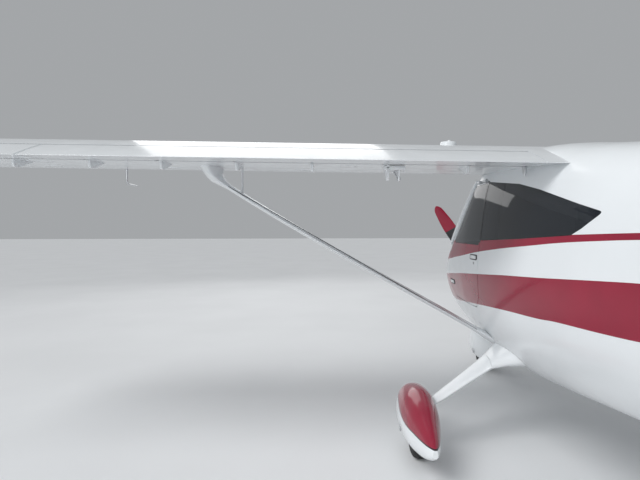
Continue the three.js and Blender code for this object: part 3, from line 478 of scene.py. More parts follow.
class Look:
    """A material being made: a Principled shader with helpers for its procedural detail."""

    def __init__(self, name, color, roughness, metallic=0.0, **more):
        self.material = bpy.data.materials.new(name)
        self.material.use_nodes = True
        self.tree = self.material.node_tree
        self.shader = self.tree.nodes["Principled BSDF"]
        self.color = color
        settings = {"Base Color": (*color, 1), "Roughness": roughness, "Metallic": metallic, **more}
        for key, value in settings.items():
            self.shader.inputs[key].default_value = value
        self.coordinates = node(self.tree, "ShaderNodeTexCoord").outputs["Object"]

    def link(self, source, target):
        self.tree.links.new(source, target)
        return self

    def noise(self, scale, detail=4.0, stretch=(1, 1, 1)):
        mapping = node(self.tree, "ShaderNodeMapping")
        mapping.inputs["Scale"].default_value = stretch
        made = node(self.tree, "ShaderNodeTexNoise", Scale=scale, Detail=detail)
        self.link(self.coordinates, mapping.inputs[0]).link(mapping.outputs[0], made.inputs["Vector"])
        return made.outputs[0]

    def ranged(self, value, low, high, from_low=0.3, from_high=0.7):
        made = node(self.tree, "ShaderNodeMapRange")
        limits = {"From Min": from_low, "From Max": from_high, "To Min": low, "To Max": high}
        for key, number in limits.items():
            made.inputs[key].default_value = number
        self.link(value, made.inputs["Value"])
        return made.outputs[0]

    def math(self, operation, a, b):
        made = node(self.tree, "ShaderNodeMath", operation=operation)
        for socket, value in zip(made.inputs, (a, b)):
            if isinstance(value, (int, float)):
                socket.default_value = value
            else:
                self.link(value, socket)
        return made.outputs[0]

    def mix(self, factor, a, b):
        """Colours a and b, each a socket or a colour."""
        made = node(self.tree, "ShaderNodeMix", data_type="RGBA")
        self.link(factor, made.inputs[0])
        for socket, value in zip((made.inputs[6], made.inputs[7]), (a, b)):
            if hasattr(value, "is_linked"):
                self.link(value, socket)
            else:
                socket.default_value = (*value, 1)
        return made.outputs[2]

    def tint(self, scale, amount, color=None, detail=5.0, stretch=(1, 1, 1)):
        """Colour that varies a little with noise."""
        color = self.color if color is None else color
        dark = tuple(c * (1 - amount) for c in color)
        light = tuple(min(c * (1 + amount * 0.6), 1) for c in color)
        return self.mix(self.ranged(self.noise(scale, detail, stretch), 0, 1), dark, light)

    def paint(self, color):
        return self.link(color, self.shader.inputs["Base Color"])

    def rough(self, scale, low, high):
        return self.link(self.ranged(self.noise(scale), low, high), self.shader.inputs["Roughness"])

    def bump(self, height, strength, distance):
        made = node(self.tree, "ShaderNodeBump", Strength=strength, Distance=distance)
        self.link(height, made.inputs["Height"])
        previous = self.shader.inputs["Normal"]
        if previous.is_linked:
            self.link(previous.links[0].from_socket, made.inputs["Normal"])
        return self.link(made.outputs[0], self.shader.inputs["Normal"])

    def weave(self, threads, strength):
        """Threads a metre each way, as bump."""
        waves = []
        for way in "XYZ":
            wave = node(self.tree, "ShaderNodeTexWave", bands_direction=way, Scale=threads * math.pi / 10)
            self.link(self.coordinates, wave.inputs["Vector"])
            waves.append(wave.outputs["Fac"])
        height = self.math("ADD", self.math("MULTIPLY", waves[0], waves[1]), waves[2])
        return self.bump(height, strength, 0.0006)

    def axis(self, name):
        split = node(self.tree, "ShaderNodeSeparateXYZ")
        self.link(self.coordinates, split.inputs[0])
        return split.outputs[name]

    def curve(self, points, x):
        """Height in metres of a line through drawing points (x, z), at a socket's x in metres."""
        points = np.asarray(sorted(points), float)
        low, high = points[0, 0] / 1000 + SHIFT, points[-1, 0] / 1000 + SHIFT
        bottom, top = points[:, 1].min() - 1, points[:, 1].max() + 1
        made = node(self.tree, "ShaderNodeFloatCurve")
        line = made.mapping.curves[0]
        spots = [((px / 1000 + SHIFT - low) / (high - low), (pz - bottom) / (top - bottom))
                 for px, pz in points]
        line.points[0].location, line.points[1].location = spots[0], spots[-1]
        for spot in spots[1:-1]:
            line.points.new(*spot)
        made.mapping.update()
        self.link(self.ranged(x, 0, 1, low, high), made.inputs["Value"])
        return self.ranged(made.outputs[0], bottom / 1000, top / 1000, 0, 1)

    def band(self, upper, lower):
        """1 between two lines of drawing points, from the later start to the earlier end along X, else 0."""
        x, z = self.axis("X"), self.axis("Z")
        inside = self.math("MULTIPLY", self.math("LESS_THAN", z, self.curve(upper, x)),
                           self.math("GREATER_THAN", z, self.curve(lower, x)))
        front = min(max(upper)[0], max(lower)[0]) / 1000 + SHIFT
        back = max(min(upper)[0], min(lower)[0]) / 1000 + SHIFT
        inside = self.math("MULTIPLY", inside, self.math("LESS_THAN", x, front))
        return self.math("MULTIPLY", inside, self.math("GREATER_THAN", x, back))


WHITE, CRIMSON = (0.78, 0.81, 0.83), (0.27, 0.006, 0.03)
EDGE, BLACK = (0.02, 0.008, 0.012), (0.015, 0.016, 0.018)

# Each stripe's upper and lower line along the side: x, z
UPPER_STRIPE = (
    [(2180, 1166), (1550, 1260), (1478, 1345), (808, 1368), (286, 1392), (-160, 1412), (-348, 1419),
     (-558, 1426), (-1100, 1440), (-1700, 1448), (-2300, 1452), (-2700, 1500), (-3050, 1640), (-3460, 1900)],
    [(2180, 1160), (1850, 1170), (1482, 1202), (1382, 1216), (1176, 1239), (900, 1275), (650, 1303),
     (508, 1318), (176, 1348), (-80, 1371), (-352, 1388), (-564, 1398), (-1100, 1408), (-1700, 1410),
     (-2300, 1404), (-2700, 1432), (-3050, 1530), (-3460, 1740)],
)
LOWER_STRIPE = (
    [(2560, 985), (2300, 1008), (1900, 1044), (1640, 1068), (1460, 1085), (1370, 1093), (1200, 1108),
     (964, 1126), (652, 1149), (476, 1162), (246, 1176), (56, 1187), (-106, 1198), (-372, 1216),
     (-584, 1229), (-1100, 1251), (-1700, 1262), (-2400, 1258), (-3050, 1240)],
    [(2560, 982), (2300, 940), (1900, 880), (1640, 868), (1446, 876), (1190, 902), (928, 923), (614, 946),
     (378, 959), (72, 970), (-42, 979), (-380, 988), (-578, 997), (-1100, 1050), (-1700, 1110), (-2400, 1178),
     (-3050, 1232)],
)
DARK_POST = ([(803, 1752), (840, 1752)], [(803, 1346), (840, 1346)])


def gelcoat(name, bands=(), color=WHITE):
    """Gloss paint with bands, each two lines and a colour."""
    look = Look(name, color, 0.22, **{"Coat Weight": 0.35, "Coat Roughness": 0.06, "Specular IOR Level": 0.4})
    base = look.tint(1.7, 0.035)
    for lines, marking in bands:
        base = look.mix(look.band(*lines), base, look.tint(3.0, 0.12, marking))
    look.paint(base)
    look.rough(9.0, 0.17, 0.27)
    look.bump(look.noise(420, 2), 0.05, 0.0004)
    look.bump(look.noise(3.2, 2), 0.06, 0.004)
    return look.material


def moulded(name, color, roughness, grain=900, strength=0.35):
    """Plastic with a fine grain."""
    look = Look(name, color, roughness)
    look.paint(look.tint(14, 0.12)).rough(30, roughness - 0.08, roughness + 0.08)
    look.bump(look.noise(grain, 3), strength, 0.0006)
    return look.material


def metal(name, color, roughness, stretch=(1, 1, 1)):
    """Bare metal, brushed along an axis when its noise is stretched."""
    look = Look(name, color, roughness, 1.0)
    look.paint(look.tint(40, 0.1, stretch=stretch)).rough(60, roughness - 0.07, roughness + 0.1)
    look.bump(look.noise(260, 3, stretch), 0.12, 0.0004)
    return look.material


MATERIALS = {
    "body": gelcoat("body_gelcoat", ((UPPER_STRIPE, CRIMSON), (LOWER_STRIPE, CRIMSON), (DARK_POST, BLACK))),
    "white": gelcoat("white_gelcoat"),
    "crimson": gelcoat("crimson_gelcoat", color=CRIMSON),
    "liner": moulded("cabin_liner", (0.11, 0.112, 0.118), 0.8, 500),
    "trim": moulded("black_trim", (0.02, 0.021, 0.023), 0.45),
    "panel": moulded("panel_plastic", (0.055, 0.057, 0.06), 0.6),
    "aluminium": metal("brushed_aluminium", (0.62, 0.63, 0.65), 0.32, (1, 12, 1)),
    "steel": metal("satin_steel", (0.42, 0.43, 0.44), 0.3),
    "iron": metal("dark_casting", (0.09, 0.09, 0.095), 0.55),
}


def glass_material():
    look = Look("tinted_polycarbonate", (0.012, 0.016, 0.022), 0.04, **{
        "Alpha": 0.7, "Specular IOR Level": 0.45, "Coat Weight": 0.3, "Coat Roughness": 0.02})
    look.paint(look.tint(2.2, 0.25)).rough(5, 0.03, 0.07)
    look.bump(look.noise(2.5, 2), 0.05, 0.003)
    return look.material


def rubber_material():
    look = Look("tyre_rubber", (0.018, 0.018, 0.019), 0.8)
    look.paint(look.tint(25, 0.35)).rough(40, 0.72, 0.9)
    look.bump(look.noise(700, 4), 0.3, 0.0008)
    return look.material


def fabric(name, color, threads=420, sheen=0.4):
    """Woven cloth with so many threads a metre."""
    look = Look(name, color, 0.9, **{"Sheen Weight": sheen, "Sheen Roughness": 0.5})
    look.paint(look.tint(90, 0.22, detail=6)).rough(50, 0.82, 0.97)
    look.weave(threads, 0.5)
    look.bump(look.noise(18, 3), 0.2, 0.002)
    return look.material


MATERIALS["seat"] = fabric("seat_weave", (0.085, 0.088, 0.095))
MATERIALS["insert"] = fabric("seat_insert_weave", (0.22, 0.222, 0.23), 300)
MATERIALS["webbing"] = fabric("belt_webbing", (0.03, 0.032, 0.04), 700, 0.2)
MATERIALS["carpet"] = fabric("floor_carpet", (0.045, 0.047, 0.052), 240, 0.7)
MATERIALS["glass"] = glass_material()
MATERIALS["rubber"] = rubber_material()


def finish(obj, looks, node_name=None, body="airframe"):
    """Gives a piece its materials and body, and hides the solid that it stands for."""
    looks = [looks] if isinstance(looks, str) else looks
    obj.data.materials.clear()
    for look in looks:
        obj.data.materials.append(MATERIALS[look])
    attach(obj, body)
    if node_name:
        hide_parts(node_name)


def pair(obj, name, looks, node_name=None, body="airframe"):
    """Finishes a left piece and its mirrored copy. A body ending in _ is one of a left and right pair."""
    right = mirror(obj, f"{name}_right")
    obj.name = f"{name}_left"
    for piece, side in ((obj, "left"), (right, "right")):
        node_side = node_name and f"{node_name}_{side}"
        finish(piece, looks, node_side, body + side if body.endswith("_") else body)
    return obj, right


# Small parts

ORIGIN = (-SHIFT * 1000, 0, 0)


def bevelled(obj, width):
    """Rounds a piece's sharp edges by a width in millimetres."""
    bevel = obj.modifiers.new("bevel", "BEVEL")
    bevel.width, bevel.segments, bevel.limit_method = width / 1000, 2, "ANGLE"
    apply(obj)
    smooth(obj)
    return obj


def joined(name, pieces):
    """One object from several, side by side."""
    verts, faces = [], []
    for piece in pieces:
        start = len(verts)
        verts += [v.co[:] for v in piece.data.vertices]
        faces += [[start + i for i in p.vertices] for p in piece.data.polygons]
        remove(piece)
    obj = new_object(name, verts, faces, recalculate=False)
    smooth(obj)
    return obj


def facing(obj, place, way, up):
    """Moves a piece made at the origin to a place in metres, its X along a way and its Z nearest to up."""
    way = Vector(way).normalized()
    side = Vector(up).cross(way).normalized()
    turn = Matrix((way, side, way.cross(side))).transposed().to_4x4()
    obj.data.transform(Matrix.Translation(Vector(place)) @ turn)
    return obj


def knob(name, profile, place, way, sides=32, up=(0, 0, 1)):
    """A turned piece, radius and height in millimetres, that stands on a surface."""
    return facing(turned(name, profile, ORIGIN, "x", sides), place, way, up)


def plate(name, width, height, thickness, place, way, up=(0, 0, 1), radius=8, sunk=2):
    """A rounded plate on a surface, height along up."""
    half_width, half_height = width / 2, height / 2
    outline = rounded([(-half_width, -half_height), (half_width, -half_height), (half_width, half_height),
                       (-half_width, half_height)], radius)
    rings = [[(x / 1000, y / 1000, z / 1000) for y, z in outline] for x in (-sunk, thickness)]
    return facing(loft(name, rings), place, way, up)


def screw(place, way, radius):
    """A chamfered screw head with a round recess."""
    profile = [(0, -2), (1, -2), (1, 0.7), (0.65, 1.4), (0.36, 1.4), (0.32, 0.4), (0, 0.4)]
    return knob("screw", [(r * radius, h) for r, h in profile], place, way, 14)


# Body with its windows and doors

# How far across the body its cuts reach, on the left side alone and on both
LEFT_SIDE, BOTH_SIDES = (200, 900), (-900, 900)
# The tail cone is solid over this length
TAIL_SOLID = 220
DOOR_CORNER, DOOR_GLASS_CORNER, QUARTER_CORNER = 60, 24, 12
# The door's seal: how far it lies below the skin, how far it reaches past the door's edge
SEAL_DEPTH, SEAL_REACH = (7, 15), (0.8, 12)


def cut_body():
    """The body's shell, the left door's panel, what their faces come from and the side windows' outlines."""
    outer = body_loft("body_skin", TAIL_X, FIREWALL_X)
    inner = body_loft("body_inner", TAIL_X + TAIL_SOLID, FIREWALL_X + 30, SKIN)
    sources = [Source(outer), Source(inner)]
    door_outline, door_glass = rounded(DOOR, DOOR_CORNER), rounded(DOOR_GLASS, DOOR_GLASS_CORNER)
    quarter = rounded(QUARTER_GLASS, QUARTER_CORNER)

    seal = body_loft("door_seal", 780, 1640, SEAL_DEPTH[0])
    combine(seal, body_loft("cut", 760, 1660, SEAL_DEPTH[1]))
    combine(seal, prism("cut", inset(door_outline, -SEAL_REACH[1]), *LEFT_SIDE), "INTERSECT")
    combine(seal, prism("cut", inset(door_outline, -SEAL_REACH[0]), *LEFT_SIDE))
    smooth(seal)
    pair(seal, "door_seal", "trim")

    panel = copy_of(outer, "door_skin")
    combine(panel, inner, keep=True)
    combine(panel, prism("cut", door_outline, *LEFT_SIDE), "INTERSECT")
    combine(outer, inner)
    for outline in (inset(door_outline, -SEAM), quarter, WINDSHIELD):
        combine(outer, prism("cut", outline, *BOTH_SIDES))
    combine(panel, prism("cut", door_glass, *LEFT_SIDE))
    return outer, panel, sources, (door_glass, quarter)


def give_liner(obj, owners):
    """Faces on the inside take the second material."""
    for polygon, owner in zip(obj.data.polygons, owners):
        polygon.material_index = 1 if owner == 1 else 0


def glass_sheet(name, outline, low_y, high_y):
    """A curved pane that fills an outline a little below the skin."""
    sheet = body_loft(name, -700, 2060, GLASS_SINK)
    source = Source(sheet)
    combine(sheet, body_loft("cut", -730, 2090, GLASS_SINK + GLASS_THICK))
    combine(sheet, prism("cut", inset(outline, 1.2), low_y, high_y), "INTERSECT")
    smooth(sheet, 40, [source])
    return sheet


def make_body():
    shell, panel, sources, (door_glass, quarter) = cut_body()
    owners = smooth(shell, 35, sources)
    finish(shell, ["body", "liner"], "fuselage_shell")
    give_liner(shell, owners)
    owners = smooth(panel, 35, sources)
    for obj in pair(panel, "door_skin", ["body", "liner"], "door", "door_"):
        give_liner(obj, owners)
    for name, outline, node_name, body in (("door_pane", door_glass, "door_glass", "door_"),
                                           ("quarter_pane", quarter, "quarter_window", "airframe")):
        pair(glass_sheet(name, outline, 60, 900), name, "glass", node_name, body)
    finish(glass_sheet("windshield_pane", WINDSHIELD, *BOTH_SIDES), "glass", "windshield")


# Cowling

COWL_SPLIT_Z, COWL_SKIN, SHAFT_HOLE_RADIUS = 985, 12, 66
INLET_Y, INLET_Z, INLET_HALF = 158, 1030, (42, 30)
NOSE_LEG_OPENING = (2475, -75, 480), (2695, 75, 720)


def oval(power, points):
    """Cosines and sines round a circle, pushed out towards a square by a power below 1."""
    angle = np.linspace(0, 2 * np.pi, points, endpoint=False)
    return [np.sign(share) * np.abs(share) ** power for share in (np.cos(angle), np.sin(angle))]


def make_cowling():
    """The hollow upper and lower cowling with the shaft's hole, both air inlets and the leg's opening."""
    outer = body_loft("cowl_lower", FIREWALL_X + 0.6, COWL_FRONT_X)
    inner = body_loft("cowl_inner", FIREWALL_X - 30, COWL_FRONT_X - 20, COWL_SKIN)
    sources = [Source(outer), Source(inner)]
    combine(outer, inner)
    hole = [(0, -80), (SHAFT_HOLE_RADIUS, -80), (SHAFT_HOLE_RADIUS, 40), (0, 40)]
    combine(outer, turned("cut", hole, (COWL_FRONT_X, 0, PROP_AXIS_Z), "x"))
    across, up = oval(0.6, 40)
    for y in (-INLET_Y, INLET_Y):
        ring = zip(y + INLET_HALF[0] * across, INLET_Z + INLET_HALF[1] * up)
        combine(outer, prism("cut", list(ring), 2790, 2940, "x"))
    combine(outer, box("cut", *NOSE_LEG_OPENING))
    upper = copy_of(outer, "cowl_upper")
    for obj, node_name, low, high in ((upper, "cowling_upper", COWL_SPLIT_Z + 0.6, 1500),
                                      (outer, "cowling_lower", 300, COWL_SPLIT_Z - 0.9)):
        combine(obj, box("cut", (1800, -900, low), (3200, 900, high)), "INTERSECT")
        owners = smooth(obj, 35, sources)
        finish(obj, ["body", "panel"], node_name)
        give_liner(obj, owners)


# Wing, flaps and ailerons

# Gaps round a flap or aileron: past its ends, round its nose, half of a bracket's slot
END_GAP, NOSE_GAP, SLOT_HALF = 5.5, 6, 8.2
# How far a bracket's fin reaches down, and the one with the flap's horn
FIN_DEPTH, HORN_DEPTH = 42, 85


def surface_profile():
    """Closed outline of a flap or aileron: upper side, lower side and rounded front."""
    at = HINGE_AT + (1 - HINGE_AT) * np.sin(np.linspace(0, np.pi / 2, 26))
    top, bottom = (np.stack(wing_place(at, airfoil(at, side)), 1) for side in (1, -1))
    first, last = (math.atan2(z - HINGE_Z, x - HINGE_X) for x, z in (bottom[0], top[0]))
    radius = NOSE_RADIUS / NOSE_SHARE
    nose = [(HINGE_X + radius * math.cos(a), HINGE_Z + radius * math.sin(a))
            for a in np.linspace(first, last, 22)[1:-1]]
    return np.array([*top, *bottom[::-1], *nose])


def make_surface(name, ends, brackets):
    """The left flap or aileron with a slot round each bracket."""
    obj = spanwise(name, surface_profile(), *ends)
    rear, front, low, high = HINGE_X - 24, HINGE_X + 90, HINGE_Z - 90, HINGE_Z + 0.55 * NOSE_RADIUS
    slot = [(rear, low), (front, low), (front, high), (rear, high)]
    for y in brackets:
        combine(obj, spanwise("cut", slot, y - SLOT_HALF, y + SLOT_HALF))
    smooth(obj, 30)
    pair(obj, f"{name}_skin", "white", name, f"{name}_")


def make_wing():
    wing = wing_loft()
    sources = [Source(wing)]
    behind = [(-400, 1500), (HINGE_X, 1500), (HINGE_X, 2100), (-400, 2100)]
    for low, high in (FLAP_Y, AILERON_Y):
        ends = (low - END_GAP, high + END_GAP)
        combine(wing, spanwise("cut", behind, *ends))
        combine(wing, spanwise("cut", circle(HINGE_X, HINGE_Z, NOSE_RADIUS + NOSE_GAP), *ends))
    combine(wing, body_loft("cut", -400, FIREWALL_X, 3))
    smooth(wing, 30, sources)
    pair(wing, "wing_skin", "white", "wing")
    make_surface("flap", FLAP_Y, FLAP_BRACKETS)
    make_surface("aileron", AILERON_Y, AILERON_BRACKETS)
    for y in (*FLAP_BRACKETS, *AILERON_BRACKETS):
        make_bracket(y)


def make_bracket(y):
    """Arm to the hinge line with a rounded fin below the wing."""
    rear = HINGE_X + NOSE_RADIUS + 10
    low = HINGE_Z - NOSE_RADIUS - (HORN_DEPTH if y == HORN_Y else FIN_DEPTH)
    fin = rounded([(rear, HINGE_Z + 6), (rear, low), (rear + 46, low), (rear + 230, HINGE_Z - 24),
                   (rear + 230, HINGE_Z + 6)], 26)
    arm = [(HINGE_X, HINGE_Z - 8), (rear + 20, HINGE_Z - 8), (rear + 20, HINGE_Z + 8), (HINGE_X, HINGE_Z + 8)]
    piece = spanwise("bracket", fin, y - 7, y + 7)
    combine(piece, spanwise("cut", arm, y - 5, y + 5), "UNION")
    combine(piece, spanwise("cut", circle(HINGE_X, HINGE_Z, 17), y - 7, y + 7), "UNION")
    bevelled(piece, 2)
    pair(piece, f"bracket_{y}", "white")


# Struts and gear

def faired(name, places, stations=40):
    """A streamlined bar through places: x, y, z, chord, thickness in drawing millimetres."""
    places = np.asarray(places, float)
    run = np.concatenate([[0], np.cumsum(np.linalg.norm(np.diff(places[:, :3], axis=0), axis=1))])
    rows = between(np.column_stack([run, places]).tolist(), np.linspace(0, run[-1], stations))
    way = np.gradient(rows[:, 1:3], axis=0)
    way /= np.linalg.norm(way, axis=1)[:, None]
    rings = []
    angle = np.linspace(0, 2 * np.pi, 32, endpoint=False)
    for (x, y, z, chord, thickness), (wy, wz) in zip(rows, way):
        along = chord / 2 * np.cos(angle)
        out = thickness / 2 * np.sin(angle) * (1 + 0.35 * np.cos(angle))
        rings.append(metres(np.stack([x + along, y - wz * out, z + wy * out], 1)))
    return loft(name, rings)


# Bracing strut, short upper strut and main leg seen from its axle: x, y, z, chord, thickness
STRUT = [(912, 475, 684, 150, 50), (905, 530, 716, 140, 46), (893, 600, 757, 100, 34),
         (700, 2230, 1706, 100, 34), (690, 2280, 1742, 150, 52), (676, 2318, 1782, 230, 96),
         (660, 2345, 1860, 320, 150)]
JURY_STRUT = [(712, 2150, 1650, 30, 13), (712, 2150, 1900, 30, 13)]
MAIN_LEG = [(165, -700, 536, 310, 112), (158, -590, 452, 280, 100), (135, -470, 370, 200, 78),
            (90, -290, 260, 140, 64), (60, -158, 180, 118, 50), (30, -82, 134, 104, 34), (0, -78, 68, 90, 22),
            (0, -78, -30, 84, 20)]
# Fairing over the main leg's root: y, rear, front, bottom, top
LEG_ROOT = [(250, 505, 960, 560, 800), (400, 545, 950, 564, 740), (480, 600, 925, 556, 668),
            (560, 660, 862, 530, 604)]


def leg_root():
    """Flared fairing where the leg meets the belly, flat below."""
    along, up = oval(0.8, 48)[0], oval(1, 48)[1]
    up = np.where(up < 0, -np.abs(up) ** 0.6, up)
    rings = []
    for y in np.linspace(LEG_ROOT[0][0], LEG_ROOT[-1][0], 24):
        rear, front, bottom, top = straight(LEG_ROOT, y)
        rings.append(metres(np.stack([(front + rear) / 2 + (front - rear) / 2 * along, np.full(48, y),
                                      (top + bottom) / 2 + (top - bottom) / 2 * up], 1)))
    return loft("cut", rings)


def make_strut():
    strut = faired("strut", STRUT, 90)
    combine(strut, faired("cut", JURY_STRUT), "UNION")
    combine(strut, loft("cut", [wing_ring(y) for y in (300, 4400)]))
    combine(strut, body_loft("cut", -400, FIREWALL_X, -0.5))
    smooth(strut, 40)
    pair(strut, "strut_skin", "white", "strut")

    # A thin black tube along the strut's upper trailing edge, as painted shade: it stands in for the dark
    # shaded groove there.
    ends = metres([(x - chord * 0.475, y, z + thickness * 0.10) for x, y, z, chord, thickness in STRUT[2:4]])
    seam = tube("seam", resample(ends, 5), 0.0021, 12)
    smooth(seam)
    pair(seam, "strut_seam", "trim")


def make_legs():
    places = [(*(a + b for a, b in zip(MAIN_AXLE, row)), *row[3:]) for row in MAIN_LEG]
    leg = faired("leg", places, 60)
    combine(leg, leg_root(), "UNION")
    combine(leg, body_loft("cut", -400, FIREWALL_X, -0.5))
    smooth(leg, 40)
    pair(leg, "leg_skin", "white", "gear_leg")


# Main wheel's fairing from its axle: x, top, bottom, half width. The nose wheel's is shorter and taller.
SPAT = [(430, 245, 205, 22), (385, 310, 150, 64), (180, 410, 100, 114), (20, 426, 96, 118),
        (-140, 402, 100, 106), (-300, 350, 125, 76), (-450, 295, 175, 40), (-520, 262, 215, 14)]
NOSE_SPAT = [(x * (0.72 if x > 0 else 0.86), top + 38, bottom, half) for x, top, bottom, half in SPAT]
# Lower line of the crimson top from the axle: x, height above the ground
SPAT_PAINT = [(-560, 270), (-420, 262), (-180, 262), (0, 286), (180, 320), (330, 330), (560, 300)]
SPAT_EDGE, SPAT_SKIN, SLOT_Y = 7, 7, 66


def spat_loft(name, axle, table, inward=0.0):
    """The outside of a wheel fairing, or its inside, which lies inwards by so many millimetres."""
    low, high = min(table)[0], max(table)[0]
    places = np.sort([*np.linspace(low, high, 60), high - 0.5])
    if inward:
        places = np.linspace(low + 20, high - 14, 60)
    across, up = oval(0.85, 48)
    rings = []
    for x, (top, bottom, half) in zip(places, between(table, places)):
        wide, tall = max(half - inward, 2), max((top - bottom) / 2 - inward, 2)
        rings.append(metres(np.stack([np.full(48, axle[0] + x), axle[1] + wide * across * (1 - 0.08 * up),
                                      (top + bottom) / 2 + tall * up], 1)))
    return loft(name, rings)


def make_spat(name, axle, table, reach):
    """A hollow wheel fairing, open below over a reach ahead of the axle and behind it."""
    spat, inner = spat_loft(name, axle, table), spat_loft("cut", axle, table, SPAT_SKIN)
    sources = [Source(spat), Source(inner)]
    combine(spat, inner)
    rear, front, low, high = axle[0] - reach, axle[0] + reach, axle[1] - SLOT_Y, axle[1] + SLOT_Y
    slot = rounded([(rear, low), (front, low), (front, high), (rear, high)], 50)
    combine(spat, prism("cut", slot, 20, 200, "z"))
    return spat, sources


def spat_look():
    """White gelcoat, with a crimson top above a thin dark line."""
    x = MAIN_AXLE[0]
    upper = [(x - 600, 700), (x + 600, 700)]
    lower = [(x + ahead, z) for ahead, z in SPAT_PAINT]
    edge = [(px, z - SPAT_EDGE) for px, z in lower]
    look = Look("main_spat_gelcoat", WHITE, 0.22, **{"Coat Weight": 0.6, "Coat Roughness": 0.06})
    base = look.mix(look.band(upper, edge), look.tint(1.7, 0.035), look.tint(3.0, 0.1, EDGE))
    base = look.mix(look.band(upper, lower), base, look.tint(3.0, 0.12, CRIMSON))
    look.paint(base).rough(9.0, 0.17, 0.27)
    look.bump(look.noise(420, 2), 0.05, 0.0004)
    return look.material


def make_spats():
    MATERIALS["main_spat"] = spat_look()
    spat, sources = make_spat("spat", MAIN_AXLE, SPAT, 225)
    x, y, _ = MAIN_AXLE
    combine(spat, box("cut", (x - 62, y - 190, 90), (x + 110, y - 60, 385)))
    owners = smooth(spat, 35, sources)
    for obj in pair(spat, "spat_skin", ["main_spat", "trim"], "spat"):
        give_liner(obj, owners)
    nose, sources = make_spat("nose_spat_skin", NOSE_AXLE, NOSE_SPAT, 215)
    owners = smooth(nose, 35, sources)
    finish(nose, ["white", "trim"], "nose_spat", "nose_gear")
    give_liner(nose, owners)


# Half of the tyre's section with its grooves, and of the rim's: radius, offset across
TYRE = [(84.3, -36), (100, -44), (125, -51), (142, -52), (158, -49), (171, -42), (178, -30), (181.5, -17),
        (181.8, -14), (176.5, -13), (176.5, -9.5), (182, -8.5), (182, -2.4), (176.5, -1.7)]
RIM = [(11.4, -38), (30, -38), (34, -30), (36, -18), (60, -14), (70, -20), (76, -34), (84, -40), (84.1, -36),
       (80, -30)]


def make_wheels():
    tyre, rim = ([*half, *((radius, -across) for radius, across in half[::-1]), half[0]]
                 for half in (TYRE, RIM))
    x, y, z = MAIN_AXLE
    for name, axle, body, tyre_node, hub_node in (
            ("left", MAIN_AXLE, "wheel_left", "tyre_left", "wheel_hub_left"),
            ("right", (x, -y, z), "wheel_right", "tyre_right", "wheel_hub_right"),
            ("nose", NOSE_AXLE, "nose_wheel", "nose_tyre", "nose_hub")):
        rubber = turned(f"tyre_{name}_rubber", tyre, axle, "y", 96)
        smooth(rubber)
        finish(rubber, "rubber", tyre_node, body)
        hub = turned(f"rim_{name}", rim, axle, "y", 72)
        smooth(hub, 30)
        finish(hub, "aluminium", hub_node, body)


# Propeller

# Share of the radius, chord, thickness, pitch in degrees
BLADE = [(0.07, 60, 48, 60), (0.16, 84, 34, 46), (0.32, 130, 22, 33), (0.6, 134, 14, 22), (0.93, 86, 7, 14),
         (1.0, 34, 4, 12)]
BLADE_PAINT_FROM, BLADE_ROUND_FROM = 0.62, 0.97
BLADE_WAYS = [(math.sin(a), math.cos(a)) for a in (math.radians(33), math.radians(213))]
PROP_CENTRE = (PROP_X, 0, PROP_AXIS_Z)
HUB = [(0, -34), (66, -34), (70, -30), (70, 30), (66, 34), (0, 34)]


def blade_ring(share, out_y, out_z):
    """A propeller blade's section at a share of the radius."""
    chord, thickness, pitch = between(BLADE, share)[0]
    if share > BLADE_ROUND_FROM:
        chord *= math.sqrt(max(1 - ((share - BLADE_ROUND_FROM) / 0.0305) ** 2, 0.02))
    twist, angle = math.radians(pitch), np.linspace(0, 2 * np.pi, 28, endpoint=False)
    run = chord / 2 * np.cos(angle)
    out = thickness / 2 * np.sin(angle) * (1 + 0.3 * np.cos(angle) * min(share * 4, 1))
    forward = run * math.sin(twist) + out * math.cos(twist)
    across = run * math.cos(twist) - out * math.sin(twist)
    reach = share * PROP_RADIUS
    return metres(np.stack([PROP_X + forward, reach * out_y + across * out_z,
                            PROP_AXIS_Z + reach * out_z - across * out_y], 1))


def make_propeller():
    hub = turned("propeller_blades", HUB, PROP_CENTRE, "x", 48)
    shares = [*np.linspace(BLADE[0][0], BLADE_ROUND_FROM, 34), 0.985, 0.995, 1.0]
    for out in BLADE_WAYS:
        combine(hub, loft("cut", [blade_ring(share, *out) for share in shares]), "UNION")
    smooth(hub)
    finish(hub, ["trim", "crimson"], "propeller", "propeller")
    axis = Vector(metres(PROP_CENTRE))
    for polygon in hub.data.polygons:
        reach = (polygon.center - axis).yz.length * 1000 / PROP_RADIUS
        polygon.material_index = 1 if reach > BLADE_PAINT_FROM else 0


def make_spinner():
    profile = [(0, -66), (SPINNER_RADIUS - 2, -66), (SPINNER_RADIUS, -64)]
    profile += [(SPINNER_RADIUS * (1 - t ** 2.3) ** 0.62, -20 + 240 * t) for t in np.linspace(0, 1, 40)]
    cone = turned("spinner_shell", profile, PROP_CENTRE, "x", 72)
    source = Source(cone)
    combine(cone, turned("cut", [(0, -90), (71, -90), (71, 36), (0, 36)], PROP_CENTRE, "x", 48))
    for out_y, out_z in BLADE_WAYS:
        ends = metres([(PROP_X, r * out_y, PROP_AXIS_Z + r * out_z) for r in (-20, 140)])
        combine(cone, tube("cut", ends, 0.044, 40))
    smooth(cone, 35, [source])
    finish(cone, "white", "spinner", "propeller")


# Tail

def tail_ring(lead, trail, thickness):
    """Symmetric section as X and half thickness, all the way round."""
    at = (1 - np.cos(np.linspace(0, np.pi, 26))) / 2
    half = np.maximum(5 * section(at) * thickness, 0.7)
    half[0] = 0
    x = lead - at * (lead - trail)
    return np.concatenate([np.stack([x, half], 1), np.stack([x, -half], 1)[:0:-1]])


